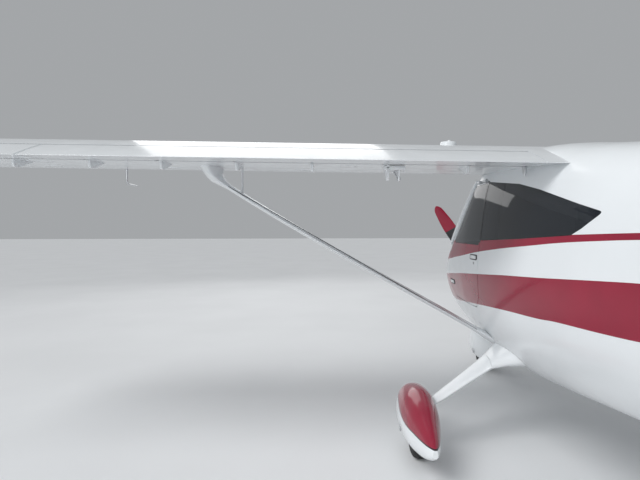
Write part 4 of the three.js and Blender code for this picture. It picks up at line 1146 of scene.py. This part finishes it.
# Along the fin or tailplane: place, front, rear, thickness. Along the hinge: place, radius of the nose.
FIN = [(1180, -2350, -3450, 96), (1420, -2500, -3450, 92), (2200, -2960, -3450, 62),
       (2290, -3040, -3436, 44)]
TAILPLANE = [(30, -2440, -3300, 72), (900, -2640, -3270, 56), (1190, -2710, -3255, 46),
             (1235, -2760, -3235, 30)]
RUDDER_NOSE = [(1408, 35), (2200, 31), (2284, 15)]
ELEVATOR_NOSE = [(104, 27), (1190, 22), (1225, 16)]
TAIL_GAP = 6
RUDDER_HINGES = (1520, 1860, 2180)
# Where the fin's and the tailplane's tips begin to be rounded, and over how much
FIN_TIP_Z, TAILPLANE_TIP_Y, TAIL_TIP = 2262, 1207, 28


def fin_point(x, half, z):
    return x, half, z


def plane_point(x, half, y):
    return x, y, ELEVATOR_Z + half


def tail_loft(name, table, places, tip, point):
    """A tail surface through its sections, thinner from where its tip begins."""
    rings = []
    for at in places:
        thin = math.sqrt(max(1 - max((at - tip) / TAIL_TIP, 0) ** 2, 0.02))
        rings.append(metres([point(x, half * thin, at) for x, half in tail_ring(*straight(table, at))]))
    return loft(name, rings)


def post(table, hinge_x, point, grow=0):
    """The rounded nose of the rudder or elevator, or with a gap round it the room that it is cut from."""
    places = [(at, radius + grow) for at, radius in table]
    if grow:
        places = [(places[0][0] - 200, places[0][1]), *places, (places[-1][0] + 60, places[-1][1])]
    line = metres([point(hinge_x, 0, at) for at, _ in places])
    return tube("cut", line, [radius / 1000 for _, radius in places], 40)


def make_fin():
    places = (*np.linspace(1180, 2200, 24), *np.linspace(2206, 2290, 12))
    fin = tail_loft("fin_skin", FIN, places, FIN_TIP_Z, fin_point)
    rudder = copy_of(fin, "rudder_skin")
    source = Source(fin)
    combine(fin, box("cut", (-3600, -200, 1000), (RUDDER_X, 200, 2400)))
    combine(fin, post(RUDDER_NOSE, RUDDER_X, fin_point, TAIL_GAP))
    combine(fin, body_loft("cut", TAIL_X, -2000, 2))
    combine(rudder, box("cut", (-3600, -200, RUDDER_BOTTOM_Z), (RUDDER_X, 200, 2400)), "INTERSECT")
    combine(rudder, post(RUDDER_NOSE, RUDDER_X, fin_point), "UNION")
    for z in RUDDER_HINGES:
        combine(rudder, box("cut", (RUDDER_X - 20, -60, z - 8), (RUDDER_X + 60, 60, z + 8)))
        hinge = box(f"rudder_hinge_{z}", (RUDDER_X - 10, -6, z - 6.5), (RUDDER_X + 60, 6, z + 6.5))
        smooth(hinge)
        finish(hinge, "steel")
    for obj, body, node_name in ((fin, "airframe", "fin"), (rudder, "rudder", "rudder")):
        smooth(obj, 30, [source])
        finish(obj, "body", node_name, body)


def make_tailplane():
    places = (*np.linspace(30, 1190, 24), *np.linspace(1194, 1235, 10))
    plane = tail_loft("stabilizer", TAILPLANE, places, TAILPLANE_TIP_Y, plane_point)
    half = copy_of(plane, "elevator_skin")
    source = Source(plane)
    combine(plane, box("cut", (ELEVATOR_X, -10, 1000), (-2300, 1300, 1500)), "INTERSECT")
    combine(plane, post(ELEVATOR_NOSE, ELEVATOR_X, plane_point, TAIL_GAP))
    combine(plane, body_loft("cut", TAIL_X, -2000, 2))
    smooth(plane, 30, [source])
    pair(plane, "stabilizer_skin", "white", "stabilizer")
    combine(half, box("cut", (-3500, 104, 1000), (ELEVATOR_X, 1300, 1500)), "INTERSECT")
    combine(half, post(ELEVATOR_NOSE, ELEVATOR_X, plane_point), "UNION")
    smooth(half, 30, [source])
    pair(half, "elevator_skin", "white", body="elevator")
    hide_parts("elevator")
    bar = tube("elevator_tube", metres([(ELEVATOR_X, y, ELEVATOR_Z) for y in (-120, 120)]), 0.014, 32)
    smooth(bar)
    finish(bar, "aluminium", body="elevator")


# Fittings

# Places on the body's left side: x, z
STRUT_SCREWS = [(968, 781), (832, 727), (800, 713), (746, 706), (674, 674)]
HANDLES, LOCK = [(908, 1244), (1464, 1021)], (898, 1204)
PILLAR, WINDSHIELD_EDGE = [(1116, 1772), (1572, 1308)], [(1148, 1783), (1600, 1310)]
FUEL_CAP_AT, FUEL_CAP_Y = 0.3, 800
# Inspection covers below the wing: share of the chord, y
COVERS = [(0.36, 1150), (0.36, 1750), (0.34, 2620), (0.34, 3420), (0.36, 4100), (0.62, 1480), (0.62, 3300)]
# The pitot tube's share of the chord and y, its bends in metres from the wing's underside, and its radii
PITOT_AT, PITOT_Y = 0.2, 3000
PITOT = [(0, 0, 0.01), (0, 0, -0.06), (0.002, 0, -0.085), (0.012, 0, -0.1), (0.03, 0, -0.106),
         (0.2, 0, -0.106)]
PITOT_RADII = [0.01, 0.008, 0.007, 0.007, 0.007, 0.005]
EXHAUST = [(2330, 110, 650), (2305, 110, 600), (2265, 111, 566), (2205, 113, 545), (2140, 116, 535)]
FLAP_DRIVE_Y = 1195
DOOR_AXIS_Y, DOOR_AXIS_Z = 544, 1757
DOOR_HINGES = (850, 985)


def on_wing(at, side, y):
    """A place on the wing's upper (1) or lower (-1) surface and the way out there, in metres."""
    def place(part, across):
        x, z = wing_place(part, airfoil(part, side))
        return Vector(metres((float(x), across, float(z) + abs(across) * DIHEDRAL)))
    return place(at, y), way_out(place, at, y, 0.004, 4, Vector((0, 0, side)))


def make_screws():
    rows = [(x, z, 5) for x, z in STRUT_SCREWS]
    rows += [(FIREWALL_X + 24, z, 6) for z in range(600, 1240, 80)]
    rows += [(x, COWL_SPLIT_Z + step, 6) for x in range(2000, 2860, 120) for step in (-20, 20)]
    rows += [(*along(WINDSHIELD_EDGE, t), 3.5) for t in np.linspace(0.04, 0.96, 14)]
    screws = [screw(*on_body(x, z), radius) for x, z, radius in rows]
    pair(joined("screws", screws), "body_screws", "steel")


def make_handles():
    for number, (x, z) in enumerate(HANDLES):
        place, way = on_body(x, z)
        recess = bevelled(plate("recess", 138, 38, 1.4, place, way, radius=18), 0.5)
        pair(recess, f"handle_recess_{number}", "trim", body="door_")
        paddle = bevelled(plate("paddle", 104, 22, 6, place, way, radius=10, sunk=0), 2)
        pair(paddle, f"handle_{number}", "white", body="door_")
    lock = knob("lock", [(0, -2), (9, -2), (9, 1.4), (7, 2.4), (3, 2.4), (3, 1), (0, 1)], *on_body(*LOCK))
    smooth(lock)
    pair(lock, "door_lock", "steel", body="door_")


def make_door_hinges():
    """For each hinge a knuckle with an arm on the shell, and one on the door beside it."""
    for number, x in enumerate(DOOR_HINGES):
        for kind, start, low, high, inner, body in (("shell", x, 3, 9, 0, "airframe"),
                                                    ("leaf", x + 24.4, -16, -9.5, -3, "door_")):
            end = start + 23.8
            ends = metres([(at, DOOR_AXIS_Y, DOOR_AXIS_Z) for at in (start, end)])
            knuckle = tube("knuckle", ends, 0.009, 28)
            arm = box("arm", (start, DOOR_AXIS_Y - 34, DOOR_AXIS_Z + low),
                      (end, DOOR_AXIS_Y + inner, DOOR_AXIS_Z + high))
            piece = bevelled(joined("hinge", [knuckle, arm]), 0.6)
            pair(piece, f"door_hinge_{kind}_{number}", "aluminium", body=body)


def make_pillar():
    """Raised frame between the windshield and the door."""
    shares = np.linspace(0, 1, 28)
    line = [on_body(*along(PILLAR, t), 9)[0] for t in shares]
    radii = [0.005 + 0.010 * math.sin(math.pi * min(max(t, 0.02), 0.98)) ** 0.5 for t in shares]
    strip = tube("pillar", line, radii)
    smooth(strip)
    pair(strip, "pillar_frame", "white")


def make_fuel_cap():
    place, way = on_wing(FUEL_CAP_AT, 1, FUEL_CAP_Y)
    profile = [(0, -6), (60, -6), (60, 3), (52, 5), (52, 24), (48, 30), (40, 33), (0, 33)]
    ring = knob("ring", profile, place, way, 48, (0, 1, 0))
    grip = plate("grip", 70, 12, 8, Vector(place) + way * 0.032, way, (0, 1, 0), 5)
    pair(bevelled(joined("cap", [ring, grip]), 1), "fuel_cap", "white")


def make_covers():
    """Round inspection covers below the wing, each with six screws."""
    profile = [(0, -3), (58, -3), (58, 0.8), (56, 1.6), (0, 1.6)]
    covers, screws = [], []
    for at, y in COVERS:
        place, way = on_wing(at, -1, y)
        covers.append(knob("cover", profile, place, way, 40, (0, 1, 0)))
        for turn in np.linspace(0, 2 * np.pi, 6, endpoint=False):
            step = Vector((math.cos(turn), math.sin(turn), 0)) * 0.049
            step -= way * step.dot(way)
            screws.append(screw(place + step + way * 0.0012, way, 4))
    pair(joined("covers", covers), "inspection_covers", "white")
    pair(joined("screws", screws), "cover_screws", "steel")


def make_pitot():
    place = on_wing(PITOT_AT, -1, PITOT_Y)[0]
    probe = tube("pitot_tube", [place + Vector(step) for step in PITOT], PITOT_RADII, 20)
    smooth(probe)
    finish(probe, "aluminium")


def make_flap_drive():
    """Lever and rod that drive the flap, below the wing."""
    y, rear, low = FLAP_DRIVE_Y, HINGE_X + NOSE_RADIUS + 10, HINGE_Z - NOSE_RADIUS
    top, tip = low - 4, low - 88
    lever = rounded([(rear, top), (rear + 18, tip), (rear + 52, tip), (rear + 120, top)], 10)
    block = rounded([(rear, top), (rear, top - 22), (rear + 70, top - 22), (rear + 130, top)], 8)
    drive = [spanwise("lever", lever, y - 5, y + 5), spanwise("block", block, y - 34, y + 84)]
    pair(bevelled(joined("drive", drive), 2), "flap_drive", "white")
    rise = y * DIHEDRAL
    bolts = [knob("bolt", [(0, 0), (9, 0), (9, 6), (0, 6)],
                  metres((rear + 35, y + side * 5, tip + 14 + rise)), (0, side, 0), 6) for side in (1, -1)]
    rod = tube("rod", metres([(rear + 35, y, tip + 14 + rise), (rear + 330, y, top + 20 + rise)]), 0.006, 20)
    inner = tube("inner", metres([(300, 499, 1735), (300, 499, HINGE_Z - 20)]), 0.0065, 20)
    clevis = box("clevis", (286, 491, low - 26), (314, 507, low + 12))
    pair(bevelled(joined("rods", [*bolts, rod, inner, clevis]), 0.8), "flap_rods", "aluminium")


def lens_material(name, color):
    """Glossy plastic that lets a little light through."""
    look = Look(name, color, 0.08, **{"Coat Weight": 0.8, "Coat Roughness": 0.03, "Alpha": 0.92})
    look.paint(look.tint(60, 0.2)).rough(80, 0.05, 0.14)
    look.bump(look.noise(350, 2), 0.15, 0.0005)
    return look.material


def make_tip_lights():
    y = WING_TIP_Y - 0.4 * TIP_LENGTH
    ring = np.array(wing_ring(y, between(TIP, 0.6)[0][0]))
    nose = Vector(ring[ring[:, 0].argmax()])
    way = Vector((1, 0.5, 0)).normalized()
    base = knob("base", [(0, -26), (26, -26), (24, -2), (19, 2), (0, 2)], nose, way)
    lens = knob("lens", [(0, 0), (18, 0), (18, 8), (15, 18), (9, 25), (0, 28)], nose, way)
    for piece in (base, lens):
        smooth(piece)
    pair(base, "tip_light_base", "white")
    right = mirror(lens, "tip_lens_right")
    lens.name = "tip_lens_left"
    for piece, name, color in ((lens, "red_lens", (0.45, 0.01, 0.01)),
                               (right, "green_lens", (0.01, 0.32, 0.08))):
        MATERIALS[name] = lens_material(name, color)
        finish(piece, name)


def make_antenna():
    foot = (-500, 0, between(BODY, [-500])[0][0])
    profile = [(0, -3), (24, -3), (24, 2), (12, 6), (7, 14), (0, 14)]
    base = knob("foot", profile, metres(foot), (0, 0, 1), up=(1, 0, 0))
    rod = tube("rod", metres([foot, (-560, 0, foot[2] + 290)]), [0.0035, 0.002], 16)
    finish(joined("antenna", [base, rod]), "trim")


def make_exhaust():
    """A bent pipe below the cowling, hollow from its open end."""
    line = resample(metres(EXHAUST), 24)
    pipe = tube("exhaust_pipe", line, 0.024, 36)
    combine(pipe, tube("cut", line[6:] + [-0.004, 0, 0], 0.021, 32))
    smooth(pipe)
    finish(pipe, "steel")


def make_radiator():
    """Fins behind both air inlets between two flat tanks."""
    pieces = [box("fin", (2772, y, 996), (2786, y + 1.5, 1064))
              for y in range(-204, 206, 9) if abs(abs(y) - INLET_Y) < 48]
    pieces += [box("tank", (2766, side * INLET_Y - 50, z), (2788, side * INLET_Y + 50, z + 6))
               for side in (1, -1) for z in (990, 1064)]
    finish(joined("radiator", pieces), "iron")


def make_skid():
    skid = rounded([(-2980, 1080), (-2800, 1040), (-2900, 985), (-2960, 985)], 14)
    finish(bevelled(prism("tail_skid", skid, -5, 5), 2), "white")


def make_axle_caps():
    for name, axle, table, body in (("main", MAIN_AXLE, SPAT, "airframe"),
                                    ("nose", NOSE_AXLE, NOSE_SPAT, "nose_gear")):
        half = between(table, [0])[0][2]
        cover = knob("cover", [(0, -4), (24, -4), (24, 1.5), (20, 4), (7, 4), (6, 2), (0, 2)],
                     metres((axle[0], axle[1] + half * 0.985, axle[2])), (0, 1, 0))
        smooth(cover)
        pair(cover, f"{name}_axle_cap", "aluminium", body=body)


def make_fittings():
    for make in (make_screws, make_handles, make_door_hinges, make_pillar, make_fuel_cap, make_covers,
                 make_flap_drive, make_tip_lights, make_pitot, make_antenna, make_exhaust, make_radiator,
                 make_skid, make_axle_caps):
        make()


# Cabin

# The left seat from side to side, and the outlines of its cushion and back: x, z
SEAT_Y = (52, 470)
CUSHION = [(476, 702), (985, 702), (999, 798), (960, 810), (482, 776)]
BACK = [(372, 702), (440, 702), (467, 770), (299, 1397), (222, 1379)]
# How far inside its outline a pad starts, how far it may swell, its grid, its insert's sides
SEAT_START, SEAT_SWELL, SEAT_GRID, SEAT_PANEL = 11, 22, 0.008, (128, 394)
# Outline of the thin shell behind a seat's back: x, z
SEAT_SHELL = [(360, 703), (367, 703), (218, 1382), (211, 1381)]
STRAP_WIDTH, STRAP_THICK = 46, 1.8
BUCKLE_Y, LAP_X = 261, 560
PANEL_FOOT, PANEL_HEAD = (1585, 1010), (1620, 1265)
PANEL_WAY = Vector((PANEL_FOOT[1] - PANEL_HEAD[1], 0, PANEL_HEAD[0] - PANEL_FOOT[0])).normalized()
# Dials on the panel: y, share of the way up, radius
DIALS = [(330, 0.68, 40), (240, 0.68, 40), (330, 0.33, 40), (240, 0.33, 40), (-150, 0.72, 29),
         (-150, 0.42, 29), (-390, 0.72, 29), (-390, 0.42, 29)]
STICK_Y, STICK_X, STICK_Z = 250, 1180, 558.3
# A control stick's rod and the ends of its grip: x, z
STICK = [(STICK_X, STICK_Z), (1176, 640), (1150, 770), (1130, 880), (1122, 930)]
STICK_GRIP = [(1131, 876), (1113, 986)]


def held_inside(points, outline, margin=1.0):
    """Points in drawing millimetres moved back inside a seat's side outline, its width and the cabin."""
    shape = np.asarray(outline, float)
    after = np.roll(shape, -1, axis=0)
    turn = np.sign(np.sum(shape[:, 0] * after[:, 1] - after[:, 0] * shape[:, 1]))
    for start, end in zip(shape, after):
        way = (end - start) / np.linalg.norm(end - start)
        inwards = np.array([-way[1], way[0]]) * turn
        short = np.minimum((points[:, [0, 2]] - start) @ inwards - margin, 0)
        points[:, [0, 2]] -= short[:, None] * inwards
    room = body_half_width(points[:, 0], points[:, 2], SKIN + 6)
    points[:, 1] = np.clip(points[:, 1], SEAT_Y[0] + margin, np.minimum(SEAT_Y[1] - margin, room))
    return points


def blown_up(obj):
    """Cloth blown up from inside for a few steps."""
    cloth = obj.modifiers.new("cloth", "CLOTH")
    cloth.settings.quality = 5
    cloth.settings.use_pressure = True
    cloth.settings.uniform_pressure_force = 4
    cloth.settings.effector_weights.gravity = 0
    cloth.point_cache.frame_start, cloth.point_cache.frame_end = 1, 20
    for number in range(1, 21):
        bpy.context.scene.frame_set(number)
    apply(obj)
    bpy.context.scene.frame_set(1)


def places_of(obj):
    """A mesh's points in drawing millimetres."""
    return (np.array([v.co[:] for v in obj.data.vertices]) - [SHIFT, 0, 0]) * 1000


def put_points(obj, places):
    """Moves a mesh's points to places in drawing millimetres."""
    for vertex, place in zip(obj.data.vertices, metres(places)):
        vertex.co = place


def stuffed(name, outline):
    """A pad that swells from inside until it fills its side outline."""
    low_y, high_y = SEAT_Y
    pad = prism(name, rounded(inset(outline, SEAT_START), 24, 4), low_y + SEAT_START, high_y - SEAT_START)
    combine(pad, body_loft("cut", 300, 1100, SKIN + 6 + SEAT_START), "INTERSECT")
    bevelled(pad, 14)
    remesh = pad.modifiers.new("grid", "REMESH")
    remesh.mode, remesh.voxel_size = "VOXEL", SEAT_GRID
    apply(pad)
    before = places_of(pad)
    blown_up(pad)
    move = places_of(pad) - before
    length = np.linalg.norm(move, axis=1)
    move *= (np.minimum(length, SEAT_SWELL) / np.maximum(length, 1e-6))[:, None]
    put_points(pad, held_inside(before + move, outline))
    finer = pad.modifiers.new("finer", "SUBSURF")
    finer.levels = finer.render_levels = 1
    return apply(pad)


def seat_pad(name, outline, grooves, insert):
    """A stuffed cushion with sewn grooves, each (axis, place), and an insert on the side that it faces."""
    pad = stuffed(name, outline)
    places = places_of(pad)
    normals = np.array([v.normal[:] for v in pad.data.vertices])
    shows = np.clip(normals @ insert * 1.6 - 0.3, 0, 1)
    depth = np.zeros(len(places))
    for axis, at in (*(("y", side) for side in SEAT_PANEL), *grooves):
        away = places[:, "xyz".index(axis)] - at
        depth = np.maximum(depth, 6 * np.exp(-(away / 5) ** 2))
    places -= normals * (depth * shows)[:, None]
    put_points(pad, held_inside(places, outline, 0.5))
    for polygon in pad.data.polygons:
        inner = SEAT_PANEL[0] < polygon.center.y * 1000 < SEAT_PANEL[1]
        polygon.material_index = 1 if inner and polygon.normal.dot(Vector(insert)) > 0.35 else 0
    pad.data.polygons.foreach_set("use_smooth", [True] * len(pad.data.polygons))
    return pad


def make_seats():
    cushion = seat_pad("cushion", CUSHION, [("x", 640), ("x", 790)], (0, 0, 1))
    back = seat_pad("back", BACK, [("z", 960), ("z", 1120), ("z", 1270)], (0.966, 0, 0.259))
    for pad, name, node_name in ((cushion, "seat_cushion", "seat"), (back, "seat_back", None)):
        for piece in pair(pad, name, ["seat", "insert"], node_name):
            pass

    shell = prism("shell", SEAT_SHELL, 58, 464)
    combine(shell, body_loft("cut", 100, 500, SKIN + 6), "INTERSECT")
    pair(bevelled(shell, 2.5), "seat_shell", "trim")
    make_belts(cushion, back)


def strap(name, line, across):
    """A flat strap along a line of points in metres."""
    line = resample(line, 40)
    run = np.gradient(line, axis=0)
    run /= np.linalg.norm(run, axis=1)[:, None]
    side = np.cross(np.cross(run, across), run)
    side /= np.linalg.norm(side, axis=1)[:, None]
    up = np.cross(run, side)
    corners = ((-1, -1), (0, -1.2), (1, -1), (1, 1), (0, 1.2), (-1, 1))
    return loft(name, [[p + s * a * STRAP_WIDTH / 2000 + u * b * STRAP_THICK / 2000 for a, b in corners]
                       for p, s, u in zip(line, side, up)])


def laid(pad, points, way):
    """Points in drawing millimetres dropped along a way onto a pad, a little above it."""
    mesh = pad.data
    tree = BVHTree.FromPolygons([v.co for v in mesh.vertices], [tuple(p.vertices) for p in mesh.polygons])
    out = []
    for point in points:
        start = Vector(metres(point)) - Vector(way) * 0.25
        hit, _, _, _ = tree.ray_cast(start, Vector(way), 0.6)
        out.append(tuple((hit if hit else Vector(metres(point))) - Vector(way) * 0.0025))
    return out


def make_belts(cushion, back):
    """Lap and shoulder straps laid on the pads, and a buckle where they meet."""
    down, into = (0, 0, -1), (-0.966, 0, -0.259)
    straps = []
    for name, first, last in (("lap_a", 66, BUCKLE_Y - 34), ("lap_b", 456, BUCKLE_Y + 34)):
        points = [(LAP_X - 40 * (1 - abs(t)), first + (last - first) * t, 800) for t in np.linspace(0, 1, 14)]
        straps.append(strap(name, laid(cushion, points, down), (1, 0, 0)))
    for side in (-1, 1):
        points = [(300 + 165 * t, BUCKLE_Y + side * (100 - 70 * t), 1360 - 560 * t)
                  for t in np.linspace(0.04, 0.94, 22)]
        line = laid(back, points, into)
        over = [tuple(Vector(line[0]) + Vector(step))
                for step in ((-0.075, 0, 0.012), (-0.045, 0, 0.026), (-0.012, 0, 0.02))]
        straps.append(strap(f"shoulder_{side}", over + line, (0, 1, 0)))
    place = Vector(laid(cushion, [(LAP_X - 2, BUCKLE_Y, 800)], down)[0]) + Vector((0, 0, 0.006))
    pair(joined("belts", straps), "seat_belts", "webbing")
    buckle = bevelled(plate("buckle", 70, 62, 12, place, (0, 0, 1), (1, 0, 0), 12, 6), 2)
    button = bevelled(plate("button", 26, 30, 15, place, (0, 0, 1), (1, 0, 0), 5, 0), 1)
    pair(buckle, "belt_buckle", "steel")
    pair(button, "belt_button", "crimson")


def make_stick_bar():
    """The tube that joins both control sticks, with its four clamps."""
    bar = tube("bar", metres([(STICK_X, y, STICK_Z) for y in (-STICK_Y, STICK_Y)]), 0.0129, 32)
    clamps = [tube("clamp", metres([(STICK_X, y - 16, STICK_Z), (STICK_X, y + 16, STICK_Z)]), 0.0165, 32)
              for y in (-STICK_Y + 18, STICK_Y - 18, -60, 60)]
    finish(bevelled(joined("stick_bar", [bar, *clamps]), 0.8), "aluminium", "control_sticks")


def make_sticks():
    line = metres([(x, STICK_Y, z) for x, z in STICK])
    rod = tube("rod", resample(line, 30), 0.0108, 28)
    smooth(rod)
    pair(rod, "stick_rod", "steel")
    low, high = (np.array([x, STICK_Y, z]) for x, z in STICK_GRIP)
    steps = np.linspace(0, 1, 44)
    radii = [0.0155 + 0.0018 * math.cos(t * 8 * math.pi) * (0.15 < t < 0.85) - 0.004 * (t > 0.96)
             for t in steps]
    grip = tube("grip", metres([low + (high - low) * t for t in steps]), radii, 32)
    smooth(grip, 60)
    pair(grip, "stick_grip", "rubber")
    way = Vector(high - low).normalized()
    button = knob("button", [(0, -2), (6, -2), (6, 3), (5, 4), (0, 4)], metres(high), way, 24, (0, 1, 0))
    smooth(button)
    pair(button, "stick_button", "crimson")


def on_panel(y, up):
    """A place on the instrument panel's face, a share of the way up it."""
    x, z = along((PANEL_FOOT, PANEL_HEAD), up)
    return Vector(metres((x, y, z)))


def make_dials():
    rings, faces, marks = [], [], []
    for y, up, r in DIALS:
        place = on_panel(y, up)
        rings.append(knob("ring", [(r - 5, 0), (r, 0), (r, 4), (r - 2, 6), (r - 5, 6)], place, PANEL_WAY, 48))
        faces.append(knob("face", [(0, -1), (r - 4.6, -1), (r - 4.6, 1.5), (0, 1.5)], place, PANEL_WAY, 40))
        for turn in np.linspace(-2.3, 2.3, 9):
            step = Vector((0, math.sin(turn), math.cos(turn))) * (r - 9) / 1000
            step -= PANEL_WAY * step.dot(PANEL_WAY)
            marks.append(plate("mark", 1.6, 6, 2.1, place + step, PANEL_WAY, step, 0.5, 0))
        needle = Vector((0, math.sin(y * 0.02), math.cos(y * 0.02)))
        marks.append(plate("needle", 1.8, r * 1.1, 3, place + needle * r * 0.0004, PANEL_WAY, needle, 0.8, 0))
    finish(joined("dial_rings", rings), "trim")
    finish(joined("dial_faces", faces), "panel")
    finish(joined("dial_marks", marks), "white")


def make_screens():
    """Two blank screens, each in a frame."""
    screens, frames = [], []
    for y, wide in ((105, 176), (-270, 150)):
        place = on_panel(y, 0.55)
        frames.append(plate("frame", wide, 128, 7, place, PANEL_WAY))
        screens.append(plate("screen", wide - 22, 104, 8, place, PANEL_WAY, radius=3))
    finish(bevelled(joined("screen_frames", frames), 1.5), "trim")
    finish(bevelled(joined("screens", screens), 0.4), "screen")


def make_switches():
    nut = [(0, -1), (6, -1), (6, 3), (0, 3)]
    lever = [(0, 2), (1.6, 2), (2.6, 14), (1.5, 16), (0, 16)]
    pull = [(0, -1), (4, -1), (4, 28), (13, 30), (15, 38), (12, 46), (0, 48)]
    switches = []
    for y in range(-60, 241, 30):
        place = on_panel(y, 0.09)
        switches.append(knob("nut", nut, place, PANEL_WAY, 6))
        switches.append(knob("lever", lever, place, PANEL_WAY + Vector((0, 0, 0.5)), 16))
    switches += [knob("pull", pull, on_panel(y, 0.2), PANEL_WAY, 28) for y in (-20, 20)]
    finish(joined("panel_switches", switches), "aluminium")


def make_hood():
    """Curved glare shield over the instrument panel."""
    rings = []
    for t in np.linspace(0, 1, 14):
        x, rise = 1572 + 150 * t, 1284 + 14 * math.sin(t * math.pi * 0.6)
        half = body_half_width(x, rise)[0] - 44
        edge = [(s, 0) for s in np.linspace(-1, 1, 25)] + [(s, 5) for s in np.linspace(1, -1, 25)]
        rings.append(metres([(x, half * s, rise + h + 12 * (1 - s ** 2)) for s, h in edge]))
    hood = loft("hood", rings)
    smooth(hood)
    finish(hood, "glare")


def make_cabin_frame():
    """Dark band inside the shell behind the doors."""
    band = body_loft("cabin_frame", 640, 811, 27)
    combine(band, body_loft("cut", 620, 830, 42))
    combine(band, box("cut", (600, -700, 300), (850, 700, 560)))
    finish(bevelled(band, 3), "trim")


def make_mat():
    """Carpet on each side of the floor's centre tunnel."""
    mat = rounded([(1010, 50), (1800, 50), (1800, 300), (1560, 400), (1010, 440)], 30)
    carpet = prism("carpet", mat, 545.6, 551, "z")
    combine(carpet, body_loft("cut", 900, 1880, SKIN + 6), "INTERSECT")
    pair(bevelled(carpet, 2), "floor_mat", "carpet")


def make_pedals():
    """Two ridged pedals on a common axle ahead of each seat."""
    way, pieces = (-0.94, 0, 0.34), []
    for y in (150, 290):
        pieces.append(plate("pad", 76, 92, 6, metres((1700, y, 672)), way, radius=10))
        pieces.append(tube("arm", metres([(1708, y, 650), (1712, y, 600), (1716, y, 566)]), 0.008, 16))
        pieces += [plate("ridge", 70, 3, 9, metres((1700 + step * 0.34, y, 672 + step * 0.94)), way,
                         radius=1, sunk=0) for step in range(-36, 37, 12)]
    pieces.append(tube("axle", metres([(1716, y, 566) for y in (110, 330)]), 0.01, 20))
    pair(bevelled(joined("pedals", pieces), 0.8), "rudder_pedals", "aluminium")


def make_flap_lever():
    lever = tube("lever", metres([(700, 0, 655), (660, 0, 740), (560, 0, 800)]), 0.009, 20)
    grip = tube("grip", metres([(596, 0, 778), (560, 0, 800), (512, 0, 829)]), [0.014, 0.016, 0.013], 24)
    base = plate("base", 46, 150, 5, metres((700, 0, 660)), (0, 0, 1), (1, 0, 0), 12)
    finish(bevelled(joined("flap_lever", [lever, grip, base]), 1), "trim")


def make_cabin():
    MATERIALS["screen"] = lens_material("dark_screen", (0.01, 0.012, 0.014))
    MATERIALS["glare"] = moulded("glare_shield", (0.016, 0.016, 0.017), 0.88, 600, 0.5)
    for make in (make_seats, make_stick_bar, make_sticks, make_dials, make_screens, make_switches, make_hood,
                 make_cabin_frame, make_mat, make_pedals, make_flap_lever):
        make()


# Stage

WORLD_COLOR, WORLD_STRENGTH = (0.90, 0.93, 0.96, 1), 0.41
# Name, kind, place, what it points at, size in metres or radians, power
LAMPS = [
    ("sun", "SUN", (-5.0, 6.0, 9.0), (0.5, 0, 1.2), 0.5, 1.65),
    ("key", "AREA", (-5.5, 8.5, 6.5), (0.5, 0, 1.2), 6.0, 140),
    ("front", "AREA", (9.5, 3.0, 6.0), (1.0, 0, 1.2), 6.0, 140),
    ("fill", "AREA", (-8.0, 6.5, 1.9), (1.0, 1.6, 1.1), 3.0, 130),
]
# The camera: place, turn in degrees as yaw, pitch and roll, focal length and picture width in pixels
CAMERA_PLACE, CAMERA_TURN = (-2.599 + SHIFT, 1.603, 1.455), (-0.83, -1.513, -0.158)
FOCAL_LENGTH, PICTURE_WIDTH, SENSOR_WIDTH = 513.7, 640, 36


def make_stage():
    scene = bpy.context.scene
    floor = new_object("floor", [(-60, -60, 0), (60, -60, 0), (60, 60, 0), (-60, 60, 0)], [(0, 1, 2, 3)])
    look = Look("floor_paint", (0.74, 0.75, 0.76), 0.55)
    look.paint(look.tint(0.8, 0.03))
    floor.data.materials.append(look.material)

    world = bpy.data.worlds.new("studio")
    scene.world = world
    scene.view_settings.view_transform = "Standard"
    world.use_nodes = True
    background = world.node_tree.nodes["Background"]
    background.inputs[0].default_value = WORLD_COLOR
    background.inputs[1].default_value = WORLD_STRENGTH

    for name, kind, place, aim, size, power in LAMPS:
        data = bpy.data.lights.new(name, kind)
        data.energy = power
        if kind == "SUN":
            data.angle = size
        else:
            data.size = size
        lamp = bpy.data.objects.new(name, data)
        scene.collection.objects.link(lamp)
        lamp.location = place
        lamp.rotation_mode = "QUATERNION"
        lamp.rotation_quaternion = (Vector(aim) - Vector(place)).to_track_quat("-Z", "Y")


def make_camera():
    """The camera that the photograph was taken with, as fitted."""
    yaw, pitch, roll = (math.radians(v) for v in CAMERA_TURN)
    forward = np.array([math.cos(yaw) * math.cos(pitch), -math.sin(yaw) * math.cos(pitch), math.sin(pitch)])
    right = np.array([-math.sin(yaw), -math.cos(yaw), 0])
    up = np.cross(right, forward)
    level = right * math.cos(roll) + up * math.sin(roll)
    lean = up * math.cos(roll) - right * math.sin(roll)
    data = bpy.data.cameras.new("camera")
    data.lens, data.sensor_width = FOCAL_LENGTH / PICTURE_WIDTH * SENSOR_WIDTH, SENSOR_WIDTH
    data.clip_start, data.clip_end = 0.05, 200
    camera = bpy.data.objects.new("camera", data)
    bpy.context.scene.collection.objects.link(camera)
    turn = Matrix(np.stack([level, lean, -forward], 1).tolist()).to_4x4()
    camera.matrix_world = Matrix.Translation(CAMERA_PLACE) @ turn
    bpy.context.scene.camera = camera


# Solids that are shown as they are
NODE_LOOKS = {
    "firewall": "aluminium", "engine_block": "iron", "axle_left": "steel", "axle_right": "steel",
    "nose_leg": "steel", "nose_axle": "steel", "nose_bearing": "aluminium", "cabin_floor": "panel",
    "instrument_panel": "panel", "baggage_bulkhead": "liner",
}

make_body()
make_cowling()
make_wing()
make_strut()
make_legs()
make_spats()
make_wheels()
make_propeller()
make_spinner()
make_fin()
make_tailplane()
make_fittings()
make_cabin()
for name, look in NODE_LOOKS.items():
    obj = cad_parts[name]
    obj.data.materials.clear()
    obj.data.materials.append(MATERIALS[look])
make_stage()
make_camera()
